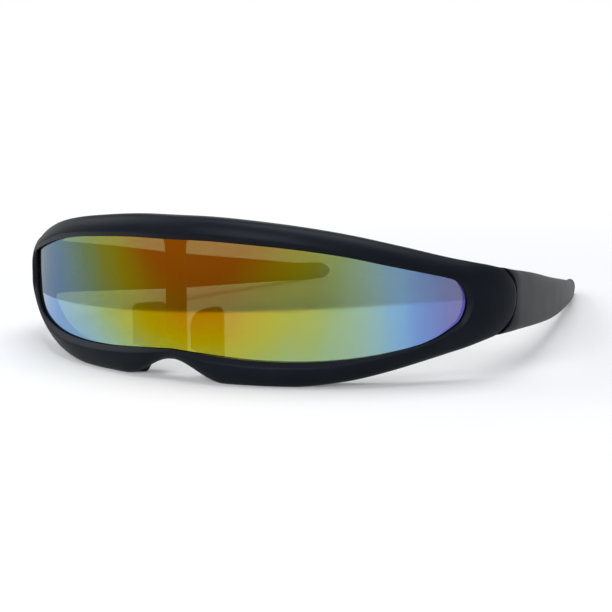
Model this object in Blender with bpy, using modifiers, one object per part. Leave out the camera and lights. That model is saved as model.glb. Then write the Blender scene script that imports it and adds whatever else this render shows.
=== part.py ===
"""Shield sunglasses: a full-rim wrap front, one mirrored lens, two nose pads and two folding arms.

Units are metres and +Z is up. The front faces -Y, +X is the wearer's left, and the origin is on the
table, under the middle of the glasses. Every piece is drawn in the front's own frame, where the lens
stands upright over a plan curve, and is then leaned back as the glasses lean when they rest on the two
lobes of the front and on the tips of the arms.
"""

from math import atan2, cos, pi, radians, sin, sqrt

import bmesh
import bpy
from mathutils import Matrix, Vector

MM = 0.001

# Plan curve, followed by the lens's outer face, round the corner and along the arm
LENS_RADIUS = 94.2 * MM
LENS_HALF_ARC = 75.2 * MM
CORNER_RADIUS = 20.7 * MM
ARM_START_HEADING = radians(98.0)
ARM_BOW = radians(12.0)
ARM_LENGTH = 113.0 * MM

# Lens window: the rim below it, how far it drops and rises from its tips, and the rim above it
LOWER_RIM = 6.6 * MM
LENS_DROP = 14.4 * MM
LENS_RISE = 14.2 * MM
UPPER_RIM = 5.7 * MM

# Lens and the groove that holds it
LENS_THICKNESS = 1.6 * MM
LENS_SEAT = 1.0 * MM
CLEARANCE = 0.3 * MM

# Rim
FRONT_PROUD = 2.1 * MM
LIP_PROUD = 0.85 * MM
RIM_BACK = 5.6 * MM
REAR_LIP = 1.2 * MM
REAR_FLARE = 1.6 * MM
RIM_CROWN_HEIGHT = 4.6 * MM
CORNER_CROWN_HEIGHT = 10.0 * MM
RIM_CROWN_DEPTH = 3.6 * MM
CORNER_CROWN_DEPTH = 5.2 * MM
RIM_REAR_ROUND = 1.6 * MM

# Nose notch
NOTCH_RISE = 5.1 * MM
NOTCH_HALF_WIDTH = 15.6 * MM
NOTCH_REAR_RISE = 4.4 * MM
NOTCH_REAR_FLAT = 8.5 * MM
NOTCH_REAR_HALF_WIDTH = 12.0 * MM

# Endpiece and the seam where the arm meets it
ENDPIECE_PROUD = 1.5 * MM
ENDPIECE_BACK = 3.4 * MM
ENDPIECE_CROWN_DEPTH = 2.6 * MM
SEAM_CREST = 15.1 * MM
SEAM_SAG = 4.2 * MM
SEAM_HALF_HEIGHT = 8.0 * MM
SEAM_GAP = 0.6 * MM
SEAM_STEP = 0.45 * MM

# Arm, its front end measured up and down from the hinge's middle
ARM_FRONT_RISE = 6.6 * MM
ARM_FRONT_DROP = 9.2 * MM
ARM_TIP_TOP = 12.0 * MM
ARM_TIP_BOTTOM = 6.4 * MM
ARM_INNER_FRONT = 3.0 * MM
ARM_INNER_TIP = 1.7 * MM
ARM_TIP_ROUND = 5.0 * MM
ARM_EDGE_ROUND = 2.2 * MM

# Strut behind the lens
STRUT_WIDTH = 5.4 * MM
STRUT_DEPTH = 2.4 * MM
STRUT_FLARE = 1.1 * MM
STRUT_FLARE_HEIGHT = 3.0 * MM
STRUT_ROOT = 1.6 * MM

# Nose pads
PAD_INNER = 4.7 * MM
PAD_OUTER = 14.7 * MM
PAD_REAR_OUTER = 11.6 * MM
PAD_TOP = 18.0 * MM
PAD_DEPTH = 6.4 * MM
PAD_INNER_ROUND = 4.6 * MM
PAD_OUTER_ROUND = 1.8 * MM
PAD_EDGE_ROUND = 0.9 * MM
PAD_SKIRT = 0.8 * MM

# Hinge, its middle a little above the lens's tips
HINGE_RISE = 0.3 * MM
HINGE_AXIS_DEPTH = 4.7 * MM
KNUCKLE_RADIUS = 1.9 * MM
KNUCKLE_HEIGHT = 2.0 * MM
PIN_RADIUS = 0.6 * MM
PIN_HEAD_RADIUS = 1.3 * MM
PIN_HEAD_HEIGHT = 0.6 * MM
PIN_TAIL = 0.5 * MM
LEAF_THICKNESS = 1.0 * MM
LEAF_OFFSET = 1.3 * MM
LEAF_LENGTH = 9.0 * MM
LEAF_HEIGHT = 6.0 * MM
NECK_INSET = 0.15 * MM
LEAF_SCREW_FIRST = 4.3 * MM
LEAF_SCREW_PITCH = 3.0 * MM
LEAF_SCREW_RADIUS = 0.5 * MM
LEAF_SCREW_HEAD_RADIUS = 1.1 * MM
LEAF_SCREW_HEAD_HEIGHT = 0.5 * MM
LEAF_SCREW_LENGTH = 2.6 * MM
DRIVE_WIDTH = 0.3 * MM
DRIVE_DEPTH = 0.25 * MM

# Flats that the glasses rest on
REST_FLAT_DEPTH = 0.4 * MM

# Room that a cutter takes past the faces that it cuts
OVERRUN = 2.0 * MM
MERGE = 0.01 * MM
SHARP_ANGLE = radians(35.0)

# Outlines as shares. First column: place along the lens, as a share of its half arc. Then the lens edge,
# as a share of its rise above the tip or of its drop below it.
LENS_TOP_SHARES = ((0.0, 1.0), (0.15, 1.0), (0.3, 0.96), (0.45, 0.895), (0.6, 0.79), (0.75, 0.627),
                   (0.87, 0.493), (0.96, 0.37), (0.98, 0.278), (1.0, 0.0))
LENS_BOTTOM_SHARES = ((0.0, 0.917), (0.15, 0.958), (0.3, 1.0), (0.45, 1.0), (0.6, 0.951), (0.75, 0.83),
                      (0.87, 0.667), (0.96, 0.41), (0.98, 0.319), (1.0, 0.0))
# Place along the front as a share of the lens's half arc, and height as a share of the frame's height
FRAME_TOP_SHARES = ((0.0, 1.0), (0.14, 0.998), (0.28, 0.983), (0.455, 0.951), (0.62, 0.905), (0.79, 0.839),
                    (0.96, 0.766), (1.08, 0.725), (1.2, 0.68), (1.4, 0.62))
FRAME_BOTTOM_SHARES = ((0.0, 0.0), (0.22, 0.0), (0.36, 0.0), (0.46, 0.006), (0.6, 0.038), (0.7, 0.075),
                       (0.84, 0.142), (0.98, 0.215), (1.1, 0.278), (1.25, 0.33), (1.4, 0.345))
# Place along the arm as a share of its length, and height as a share of the way from front to tip
ARM_TOP_SHARES = ((-0.15, -0.22), (0.0, 0.0), (0.1, 0.11), (0.2, 0.22), (0.4, 0.46), (0.6, 0.67),
                  (0.77, 0.84), (0.88, 0.95), (1.0, 1.0))
ARM_BOTTOM_SHARES = ((-0.15, 0.3), (-0.08, 0.08), (0.0, 0.0), (0.1, 0.12), (0.2, 0.28), (0.42, 0.6),
                     (0.68, 0.8), (0.86, 0.94), (1.0, 1.0))

# Share of the half turn that the lens outline's stations span, so that its ends are blunt
LENS_TURN_SHARE = 0.97
# Share of the lens's half arc where the rim begins to turn into the endpiece
CORNER_START_SHARE = 0.85
# Share of the lens's half arc where the rim's rounded edge begins to grow taller
CROWN_START_SHARE = 0.4
# Most of a section's height that one rounded edge may take
CROWN_LIMIT_SHARE = 0.42
# Share of the lens's half arc where the lobe's lowest place lies
LOBE_SHARE = 0.3
# Height of the arm's rounded edge as a share of its depth
ARM_CROWN_SHARE = 1.4
# Share of the tip's rounding that its last row leaves off
TIP_CAP_SHARE = 0.01

LENS_STATIONS = 56
CORNER_STATIONS = 10
ARM_STATIONS = 22
CROWN_STEPS = 5
FACE_STEPS = 5
ROUND_SEGMENTS = 20
SEAM_PASSES = 8
TIP_STEPS = 6
STRUT_STEPS = 6
PAD_ROUND_STEPS = 5
PAD_FOOT_STEPS = 4

LENS_TIP_HEIGHT = LOWER_RIM + LENS_DROP
FRAME_HEIGHT = LENS_TIP_HEIGHT + LENS_RISE + UPPER_RIM
HINGE_HEIGHT = LENS_TIP_HEIGHT + HINGE_RISE
ARM_FRONT_TOP = HINGE_HEIGHT + ARM_FRONT_RISE
ARM_FRONT_BOTTOM = HINGE_HEIGHT - ARM_FRONT_DROP
BARREL_HEIGHT = 3 * KNUCKLE_HEIGHT + 2 * CLEARANCE
LENS_TURN = LENS_HALF_ARC / LENS_RADIUS
CORNER_ARC = CORNER_RADIUS * (ARM_START_HEADING - LENS_TURN)
ARM_RADIUS = ARM_LENGTH / ARM_BOW
SEAM_ARC = LENS_HALF_ARC + SEAM_CREST
TIP_ARC = LENS_HALF_ARC + CORNER_ARC + ARM_LENGTH


def wrap(arc, depth, height):
    """Point at an arc length along the plan curve, a depth inward of it and a height."""
    run = abs(arc)
    x = y = heading = 0.0
    pieces = ((LENS_RADIUS, LENS_HALF_ARC), (CORNER_RADIUS, CORNER_ARC), (ARM_RADIUS, run))
    for radius, length in pieces:
        step = min(run, length)
        turned = heading + step / radius
        x += radius * (sin(turned) - sin(heading))
        y += radius * (cos(heading) - cos(turned))
        heading = turned
        run -= step
    x -= depth * sin(heading)
    y += depth * cos(heading)
    return Vector((-x if arc < 0 else x, y, height))


def heading_at(arc):
    """Heading of the plan curve at an arc length, from +X towards +Y."""
    ahead = wrap(arc + MERGE, 0.0, 0.0) - wrap(arc, 0.0, 0.0)
    return atan2(ahead.y, ahead.x)


def read_shares(table, place):
    """Smooth value of a table of shares at a place, by a Catmull-Rom spline."""
    places = [row[0] for row in table]
    values = [row[1] for row in table]
    place = min(max(place, places[0]), places[-1])
    i = max(k for k in range(len(places) - 1) if places[k] <= place)

    def slope(k):
        low, high = max(k - 1, 0), min(k + 1, len(places) - 1)
        return (values[high] - values[low]) / (places[high] - places[low])

    gap = places[i + 1] - places[i]
    t = (place - places[i]) / gap
    start, end = slope(i) * gap, slope(i + 1) * gap
    return ((2 * t ** 3 - 3 * t ** 2 + 1) * values[i] + (t ** 3 - 2 * t ** 2 + t) * start
            + (3 * t ** 2 - 2 * t ** 3) * values[i + 1] + (t ** 3 - t ** 2) * end)


def by_angle(table):
    """The table with its places turned to angles, so that a blunt end is read smoothly."""
    return [(atan2(place, sqrt(max(1 - place ** 2, 0.0))), value) for place, value in table]


def lens_outline(offset):
    """Top and bottom edges of the lens window in arc and height, grown by an offset."""
    tops, bottoms = [], []
    last = LENS_STATIONS
    rise_table, drop_table = by_angle(LENS_TOP_SHARES), by_angle(LENS_BOTTOM_SHARES)
    for i in range(last + 1):
        angle = (i / last - 0.5) * pi * LENS_TURN_SHARE
        arc = LENS_HALF_ARC * sin(angle)
        tops.append(Vector((arc, LENS_TIP_HEIGHT + LENS_RISE * read_shares(rise_table, abs(angle)))))
        bottoms.append(Vector((arc, LENS_TIP_HEIGHT - LENS_DROP * read_shares(drop_table, abs(angle)))))
    ring = tops + bottoms[::-1]
    grown = []
    for k, point in enumerate(ring):
        along = (ring[(k + 1) % len(ring)] - ring[k - 1]).normalized()
        grown.append(point + Vector((-along.y, along.x)) * offset)
    return grown[:last + 1], grown[last + 1:][::-1]


def frame_top(arc):
    """Height of the front's top edge."""
    return FRAME_HEIGHT * read_shares(FRAME_TOP_SHARES, abs(arc) / LENS_HALF_ARC)


def notched(arc, rise, flat, half_width):
    """Height of the front's bottom edge, raised by a notch with a flat top and eased sides."""
    height = FRAME_HEIGHT * read_shares(FRAME_BOTTOM_SHARES, abs(arc) / LENS_HALF_ARC)
    share = min(max((abs(arc) - flat) / (half_width - flat), 0.0), 1.0)
    return height + rise * (1 + cos(pi * share)) / 2


def frame_bottom(arc):
    """Height of the front's bottom edge at its outer face."""
    return notched(arc, NOTCH_RISE, 0.0, NOTCH_HALF_WIDTH)


def frame_rear_bottom(arc):
    """Height of the bottom edge at the back, where the notch is wider and steeper."""
    return notched(arc, NOTCH_REAR_RISE, NOTCH_REAR_FLAT, NOTCH_REAR_HALF_WIDTH)


def arm_share(arc):
    """Share of the arm's length from the seam's crest to the tip."""
    return (arc - SEAM_ARC) / (TIP_ARC - SEAM_ARC)


def arm_top(arc):
    """Height of the arm's top edge."""
    return ARM_FRONT_TOP + (ARM_TIP_TOP - ARM_FRONT_TOP) * read_shares(ARM_TOP_SHARES, arm_share(arc))


def arm_bottom(arc):
    """Height of the arm's bottom edge."""
    span = ARM_TIP_BOTTOM - ARM_FRONT_BOTTOM
    return ARM_FRONT_BOTTOM + span * read_shares(ARM_BOTTOM_SHARES, arm_share(arc))


def seam_setback(height):
    """How far the seam lies in front of its crest at a height."""
    return SEAM_SAG * ((height - HINGE_HEIGHT) / SEAM_HALF_HEIGHT) ** 2


def rounded_levels(bottom, top, crown):
    """Heights of a section from bottom to top, close together where its edges are rounded."""
    crown = min(crown, (top - bottom) * CROWN_LIMIT_SHARE)
    steps = [crown * (1 - cos(pi / 2 * k / CROWN_STEPS)) for k in range(CROWN_STEPS)]
    face = top - bottom - 2 * crown
    middle = [bottom + crown + face * k / FACE_STEPS for k in range(FACE_STEPS + 1)]
    return [bottom + step for step in steps] + middle + [top - step for step in steps[::-1]]


def rounded_depth(height, bottom, top, crown, face, edge):
    """Depth of a section's surface at a height: the face, rolled back to the edge's depth."""
    crown = min(crown, (top - bottom) * CROWN_LIMIT_SHARE)
    near = min(height - bottom, top - height)
    if near >= crown:
        return face
    roll = 1 - sqrt(max(1 - ((crown - near) / crown) ** 2, 0.0))
    return face + (edge - face) * roll


def mesh_object(name, mesh_data, collection, parent):
    """Object of that name in a collection, under a parent empty."""
    piece = bpy.data.objects.new(name, mesh_data)
    collection.objects.link(piece)
    piece.parent = parent
    return piece


def finish_mesh(name, points, faces):
    """Mesh from points and faces, merged, facing outward and shaded smooth."""
    mesh = bpy.data.meshes.new(name)
    form = bmesh.new()
    corners = [form.verts.new(point) for point in points]
    for face in faces:
        form.faces.new([corners[k] for k in face])
    bmesh.ops.remove_doubles(form, verts=form.verts, dist=MERGE)
    bmesh.ops.recalc_face_normals(form, faces=form.faces)
    form.to_mesh(mesh)
    form.free()
    mesh.shade_smooth()
    mesh.set_sharp_from_angle(angle=SHARP_ANGLE)
    return mesh


def grid_body(name, fronts, backs):
    """Closed body between a front grid and a back grid of points, rows along the piece."""
    rows, columns = len(fronts), len(fronts[0])
    points = [point for row in fronts for point in row] + [point for row in backs for point in row]

    def front(i, k):
        return i * columns + k

    def back(i, k):
        return (rows + i) * columns + k

    faces = []
    for i in range(rows - 1):
        for k in range(columns - 1):
            faces.append((front(i, k), front(i + 1, k), front(i + 1, k + 1), front(i, k + 1)))
            faces.append((back(i, k), back(i, k + 1), back(i + 1, k + 1), back(i + 1, k)))
        for k in (0, columns - 1):
            faces.append((front(i, k), back(i, k), back(i + 1, k), front(i + 1, k)))
    for i in (0, rows - 1):
        for k in range(columns - 1):
            faces.append((front(i, k), front(i, k + 1), back(i, k + 1), back(i, k)))
    return finish_mesh(name, points, faces)


def layered_body(name, layers):
    """Closed body between lens outlines, each grown by an offset and set at a depth."""
    loops = []
    for offset, depth in layers:
        tops, bottoms = lens_outline(offset)
        ring = [(point.x, point.y) for point in tops] + [(point.x, point.y) for point in bottoms[::-1]]
        loops.append([wrap(arc, depth, height) for arc, height in ring])
    count = len(loops[0])
    half = count // 2
    points = [point for loop in loops for point in loop]
    faces = []
    for layer in range(len(loops) - 1):
        for k in range(count):
            after = (k + 1) % count
            base, above = layer * count, (layer + 1) * count
            faces.append((base + k, base + after, above + after, above + k))
    for base in (0, (len(loops) - 1) * count):
        for k in range(half - 1):
            faces.append((base + k, base + k + 1, base + count - 2 - k, base + count - 1 - k))
    return finish_mesh(name, points, faces)


def add_boolean(piece, cutter, operation, solver="EXACT"):
    """Boolean modifier on a piece."""
    modifier = piece.modifiers.new(cutter.name, "BOOLEAN")
    modifier.operation = operation
    modifier.object = cutter
    modifier.solver = solver


def make_cutter(name, mesh_data, parent):
    """Object that only cuts or joins, kept out of the model."""
    cutter = mesh_object(name, mesh_data, CUTTERS, parent)
    cutter.hide_render = True
    cutter.display_type = "WIRE"
    return cutter


def box_mesh(name, low, high):
    """Box between two corners."""
    low, high = Vector(low), Vector(high)
    mesh = bpy.data.meshes.new(name)
    form = bmesh.new()
    bmesh.ops.create_cube(form)
    for vertex in form.verts:
        vertex.co = Vector([high[axis] if vertex.co[axis] > 0 else low[axis] for axis in range(3)])
    form.to_mesh(mesh)
    form.free()
    return mesh


def cylinder_mesh(name, radius, low, high, turn=None, segments=ROUND_SEGMENTS):
    """Cylinder about the local Z axis between two heights, then turned if asked."""
    mesh = bpy.data.meshes.new(name)
    form = bmesh.new()
    bmesh.ops.create_cone(form, cap_ends=True, segments=segments, radius1=radius, radius2=radius,
                          depth=high - low)
    bmesh.ops.translate(form, vec=(0.0, 0.0, (low + high) / 2), verts=form.verts)
    if turn is not None:
        bmesh.ops.transform(form, matrix=turn, verts=form.verts)
    form.to_mesh(mesh)
    form.free()
    mesh.shade_smooth()
    mesh.set_sharp_from_angle(angle=SHARP_ANGLE)
    return mesh


def plastic(name, colour, roughness, metallic=0.0):
    """Principled material."""
    material = bpy.data.materials.new(name)
    material.use_nodes = True
    shader = material.node_tree.nodes["Principled BSDF"]
    shader.inputs["Base Color"].default_value = (*colour, 1.0)
    shader.inputs["Roughness"].default_value = roughness
    shader.inputs["Metallic"].default_value = metallic
    material.diffuse_color = (*colour, 1.0)
    return material


def empty(name, parent=None, matrix=None):
    """Empty that carries pieces."""
    carrier = bpy.data.objects.new(name, None)
    PARTS.objects.link(carrier)
    carrier.parent = parent
    if matrix is not None:
        carrier.matrix_local = matrix
    return carrier


def section_rows(arcs, top_of, bottom_of, rear_bottom_of, crown_of, outer_of, inner_of):
    """Front and back rows of points for a slab along the plan curve.

    The rows near the seam lean so that the last one follows the seam's curve.
    """
    fronts, backs = [], []
    for arc, lean in arcs:
        seam_side = -1 if arc < 0 else 1
        top, bottom = top_of(arc), bottom_of(arc)
        crown_height, crown_depth, rear_round = crown_of(arc)
        front_row, back_row = [], []
        for k, height in enumerate(rounded_levels(bottom, top, crown_height)):
            for _ in range(SEAM_PASSES):
                own_arc = arc - seam_side * lean * seam_setback(height)
                own_bottom, own_top = bottom_of(own_arc), top_of(own_arc)
                height = rounded_levels(own_bottom, own_top, crown_height)[k]
            outer, inner = outer_of(own_arc), inner_of(own_arc)
            edge = outer + crown_depth
            face = rounded_depth(height, own_bottom, own_top, crown_height, outer, edge)
            front_row.append(wrap(own_arc, face, height))
            own_bottom = rear_bottom_of(own_arc)
            height = rounded_levels(own_bottom, own_top, crown_height)[k]
            rear = rounded_depth(height, own_bottom, own_top, rear_round, inner, inner - rear_round)
            back_row.append(wrap(own_arc, rear, height))
        fronts.append(front_row)
        backs.append(back_row)
    return fronts, backs


def blend(low, high, share):
    """Smooth step from low to high."""
    share = min(max(share, 0.0), 1.0)
    return low + (high - low) * share * share * (3 - 2 * share)


def corner_share(arc):
    """Share of the way from where the rim begins to turn to the seam's crest."""
    start = LENS_HALF_ARC * CORNER_START_SHARE
    return (abs(arc) - start) / (SEAM_ARC - start)


def frame_outer(arc):
    """Depth of the front's outer face."""
    return -blend(FRONT_PROUD, ENDPIECE_PROUD, corner_share(arc))


def frame_inner(arc):
    """Depth of the front's inner face."""
    return blend(RIM_BACK, ENDPIECE_BACK, corner_share(arc))


def frame_crown(arc):
    """Height and depth of the front's rounded edge, and the radius at the back."""
    start = LENS_HALF_ARC * CROWN_START_SHARE
    share = (abs(arc) - start) / (LENS_HALF_ARC - start)
    height = blend(RIM_CROWN_HEIGHT, CORNER_CROWN_HEIGHT, share)
    depth = blend(blend(RIM_CROWN_DEPTH, CORNER_CROWN_DEPTH, share), ENDPIECE_CROWN_DEPTH, corner_share(arc))
    return height, depth, RIM_REAR_ROUND


def front_arcs():
    """Arcs of the front's rows and how far each leans with the seam."""
    side = []
    lens_rows = LENS_STATIONS // 2
    for i in range(lens_rows):
        side.append((LENS_HALF_ARC * i / lens_rows, 0.0))
    for i in range(CORNER_STATIONS + 1):
        share = i / CORNER_STATIONS
        side.append((LENS_HALF_ARC + SEAM_CREST * share, share))
    left = [(-arc, lean) for arc, lean in side[:0:-1]]
    return left + side


def make_front_frame(parent):
    """The front's slab, with its nose notch and its two endpieces."""
    fronts, backs = section_rows(front_arcs(), frame_top, frame_bottom, frame_rear_bottom, frame_crown,
                                 frame_outer, frame_inner)
    frame = mesh_object("front_frame", grid_body("front_frame", fronts, backs), PARTS, parent)
    frame.data.materials.append(MATTE_BLACK)
    return frame


def open_lens_window(frame, parent):
    """Window with its bevelled lip, groove for the lens, and the strut behind it."""
    bevel_out = OVERRUN + FRONT_PROUD
    window = layered_body("window_cutter", (
        (bevel_out - LIP_PROUD, -bevel_out),
        (0.0, -LIP_PROUD),
        (0.0, LENS_THICKNESS + REAR_LIP),
        (REAR_FLARE, RIM_BACK),
        (REAR_FLARE, RIM_BACK + OVERRUN)))
    groove_offset = LENS_SEAT + CLEARANCE
    groove = layered_body("groove_cutter", (
        (groove_offset, -CLEARANCE),
        (groove_offset, LENS_THICKNESS + CLEARANCE)))
    # The exact solver drops the whole rim at the groove, the manifold solver keeps it
    add_boolean(frame, make_cutter("window_cutter", window, parent), "DIFFERENCE", "MANIFOLD")
    add_boolean(frame, make_cutter("groove_cutter", groove, parent), "DIFFERENCE", "MANIFOLD")
    add_boolean(frame, make_cutter("strut_form", strut_mesh(), parent), "UNION", "MANIFOLD")


def strut_mesh():
    """Upright strut behind the lens, flared where it meets the top rim."""
    front = LENS_THICKNESS + CLEARANCE
    low = LENS_TIP_HEIGHT - LENS_DROP * LENS_BOTTOM_SHARES[0][1] - STRUT_ROOT
    high = LENS_TIP_HEIGHT + LENS_RISE + STRUT_ROOT
    flare_start = high - STRUT_ROOT - STRUT_FLARE_HEIGHT
    flare = [flare_start + STRUT_FLARE_HEIGHT * k / STRUT_STEPS for k in range(STRUT_STEPS + 1)]
    fronts, backs = [], []
    for height in [low] + flare + [high]:
        rise = min(max((height - flare_start) / STRUT_FLARE_HEIGHT, 0.0), 1.0)
        half = STRUT_WIDTH / 2 + STRUT_FLARE * (1 - sqrt(1 - rise ** 2))
        arcs = [half * (2 * k / STRUT_STEPS - 1) for k in range(STRUT_STEPS + 1)]
        fronts.append([wrap(arc, front, height) for arc in arcs])
        backs.append([wrap(arc, front + STRUT_DEPTH, height) for arc in arcs])
    return grid_body("strut_form", fronts, backs)


def make_lens(parent):
    """The lens: one bent sheet of even thickness."""
    mesh = layered_body("shield_lens", ((LENS_SEAT, 0.0), (LENS_SEAT, LENS_THICKNESS)))
    lens = mesh_object("shield_lens", mesh, PARTS, parent)
    lens.data.materials.append(LENS_MIRROR)
    return lens


def lens_bottom(arc):
    """Height of the lens window's bottom edge."""
    share = min(abs(arc) / LENS_HALF_ARC, 1.0)
    return LENS_TIP_HEIGHT - LENS_DROP * read_shares(LENS_BOTTOM_SHARES, share)


def pad_foot(arc, depth):
    """Height of a nose pad's foot: on the rim inside the window, and down behind the rim."""
    if depth > RIM_BACK + CLEARANCE:
        return NOTCH_RISE + PAD_SKIRT
    rear_lip = LENS_THICKNESS + REAR_LIP
    fall = REAR_FLARE * min(max((depth - rear_lip) / (RIM_BACK - rear_lip), 0.0), 1.0)
    return lens_bottom(arc) - fall + CLEARANCE


def pad_outline(inner, outer, top):
    """Face of a nose pad, from its outer foot up over the round top to its inner foot."""
    points = []
    inner_round = min(PAD_INNER_ROUND, outer - inner - PAD_OUTER_ROUND - CLEARANCE)
    for k in range(PAD_ROUND_STEPS + 1):
        angle = pi / 2 * k / PAD_ROUND_STEPS
        points.append((outer - PAD_OUTER_ROUND * (1 - cos(angle)), top - PAD_OUTER_ROUND * (1 - sin(angle))))
    for k in range(PAD_ROUND_STEPS + 1):
        angle = pi / 2 * (1 - k / PAD_ROUND_STEPS)
        points.append((inner + inner_round * (1 - cos(angle)), top - inner_round * (1 - sin(angle))))
    return points


def make_nose_pad(name, side, parent):
    """Soft pad that sits astride the bottom rim behind the lens."""
    front_depth = LENS_THICKNESS + CLEARANCE
    rear_depth = front_depth + PAD_DEPTH
    behind_rim = RIM_BACK + CLEARANCE
    layers = ((PAD_EDGE_ROUND, front_depth), (0.0, front_depth + PAD_EDGE_ROUND), (0.0, RIM_BACK),
              (0.0, behind_rim), (0.0, behind_rim + MERGE * 2), (0.0, rear_depth - PAD_EDGE_ROUND),
              (PAD_EDGE_ROUND, rear_depth))
    loops = []
    for shrink, depth in layers:
        rear = (depth - front_depth) / PAD_DEPTH
        outer = PAD_OUTER + (PAD_REAR_OUTER - PAD_OUTER) * rear - shrink
        inner = PAD_INNER + shrink
        face = pad_outline(inner, outer, PAD_TOP - shrink)
        feet = [outer + (inner - outer) * k / PAD_FOOT_STEPS for k in range(PAD_FOOT_STEPS + 1)]
        face = [(outer, pad_foot(outer, depth))] + face
        face += [(across, pad_foot(across, depth)) for across in feet[:0:-1]]
        loops.append([wrap(side * across, depth, height) for across, height in face])
    count = len(loops[0])
    points = [point for loop in loops for point in loop]
    faces = []
    for layer in range(len(loops) - 1):
        base, above = layer * count, (layer + 1) * count
        for k in range(count):
            after = (k + 1) % count
            faces.append((base + k, base + after, above + after, above + k))
    faces.append(tuple(range(count)))
    faces.append(tuple(range((len(loops) - 1) * count, len(loops) * count)))
    mesh = finish_mesh(name, points, faces)
    pad = mesh_object(name, mesh, PARTS, parent)
    pad.data.materials.append(SOFT_RUBBER)
    return pad


def arm_tip_share(arc):
    """Share of the section that is left at an arc, as the arm's end is rounded."""
    left = TIP_ARC - arc
    if left >= ARM_TIP_ROUND:
        return 1.0
    return sqrt(max(1 - (1 - left / ARM_TIP_ROUND) ** 2, 0.0))


def arm_arcs():
    """Arcs of the arm's rows and how far each leans with the seam."""
    start = SEAM_ARC + SEAM_GAP
    lean_length = 2 * SEAM_CREST
    straight = TIP_ARC - ARM_TIP_ROUND - start
    rows = []
    for i in range(ARM_STATIONS):
        arc = start + straight * i / ARM_STATIONS
        rows.append((arc, max(1 - (arc - start) / lean_length, 0.0)))
    for k in range(TIP_STEPS):
        rows.append((TIP_ARC - ARM_TIP_ROUND * (1 - sin(pi / 2 * k / TIP_STEPS)), 0.0))
    rows.append((TIP_ARC - ARM_TIP_ROUND * TIP_CAP_SHARE, 0.0))
    return rows


def make_temple(name, side, parent):
    """Plain tapering arm with a blunt round end."""

    def inner(arc):
        return ARM_INNER_FRONT + (ARM_INNER_TIP - ARM_INNER_FRONT) * min(max(arm_share(arc), 0.0), 1.0)

    def top(arc):
        middle = (arm_top(arc) + arm_bottom(arc)) / 2
        return middle + (arm_top(arc) - middle) * arm_tip_share(arc)

    def bottom(arc):
        middle = (arm_top(arc) + arm_bottom(arc)) / 2
        return middle - (middle - arm_bottom(arc)) * arm_tip_share(arc)

    def outer(arc):
        return -ENDPIECE_PROUD + SEAM_STEP

    def crown(arc):
        deep = ARM_EDGE_ROUND * arm_tip_share(arc)
        depth = min(ARM_EDGE_ROUND, (inner(arc) - outer(arc)) / 2)
        return max(deep * ARM_CROWN_SHARE, MERGE), depth, deep / 2

    fronts, backs = section_rows(arm_arcs(), top, bottom, bottom, crown, outer, inner)
    if side < 0:
        fronts = [[Vector((-point.x, point.y, point.z)) for point in row] for row in fronts]
        backs = [[Vector((-point.x, point.y, point.z)) for point in row] for row in backs]
    mesh = grid_body(name, fronts, backs)
    mesh.transform(hinge_matrix(side).inverted())
    arm = mesh_object(name, mesh, PARTS, parent)
    arm.data.materials.append(MATTE_BLACK)
    return arm


def hinge_matrix(side):
    """Place of a hinge in the front's frame: X back along the seam's tangent, Z up the pin."""
    point = wrap(side * SEAM_ARC, HINGE_AXIS_DEPTH, HINGE_HEIGHT)
    heading = heading_at(SEAM_ARC)
    turn = heading if side > 0 else pi - heading
    return Matrix.Translation(point) @ Matrix.Rotation(turn, 4, "Z")


def hinge_box(name, side, back, inward, up):
    """Box in a hinge's frame from ranges rearward, inward and upward."""
    across = sorted(side * value for value in inward)
    return box_mesh(name, (back[0], across[0], up[0]), (back[1], across[1], up[1]))


def leaf_face():
    """Inward places of a leaf's two faces, from the pin's axis."""
    return -LEAF_OFFSET - LEAF_THICKNESS, -LEAF_OFFSET


def leaf_screw_places(back_sign):
    """Places of a leaf's two screws, along the hinge."""
    return [back_sign * (LEAF_SCREW_FIRST + LEAF_SCREW_PITCH * k) for k in range(2)]


def across_turn(side):
    """Turn that lays a piece's Z axis along the inward direction."""
    return Matrix.Rotation(-side * pi / 2, 4, "X")


def cut_hinge_pocket(piece, word, side, back_sign, parent, solver):
    """Pocket in an endpiece or arm for a hinge leaf, its barrel and its screws."""
    floor = leaf_face()[0] - CLEARANCE
    open_side = HINGE_AXIS_DEPTH + OVERRUN
    reach = LEAF_LENGTH + CLEARANCE
    half = LEAF_HEIGHT / 2 + CLEARANCE
    back = sorted((-back_sign * OVERRUN, back_sign * reach))
    leaf_room = hinge_box(word + "_leaf_room", side, back, (floor, open_side), (-half, half))
    wide = KNUCKLE_RADIUS + 2 * CLEARANCE
    low = -BARREL_HEIGHT / 2 - PIN_TAIL - 2 * CLEARANCE
    high = BARREL_HEIGHT / 2 + PIN_HEAD_HEIGHT + 3 * CLEARANCE
    barrel_room = hinge_box(word + "_barrel_room", side, (-wide, wide), (floor + MERGE, open_side),
                            (low, high))
    hole_radius = LEAF_SCREW_RADIUS + CLEARANCE
    deep = leaf_face()[1] - LEAF_SCREW_LENGTH - CLEARANCE
    for number, place in enumerate(leaf_screw_places(back_sign)):
        mesh = cylinder_mesh(word + "_pilot_%d" % number, hole_radius, deep, leaf_face()[1],
                             Matrix.Translation((place, 0.0, 0.0)) @ across_turn(side))
        add_boolean(piece, make_cutter(mesh.name, mesh, parent), "DIFFERENCE", solver)
    for mesh in (leaf_room, barrel_room):
        add_boolean(piece, make_cutter(mesh.name, mesh, parent), "DIFFERENCE", solver)


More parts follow.
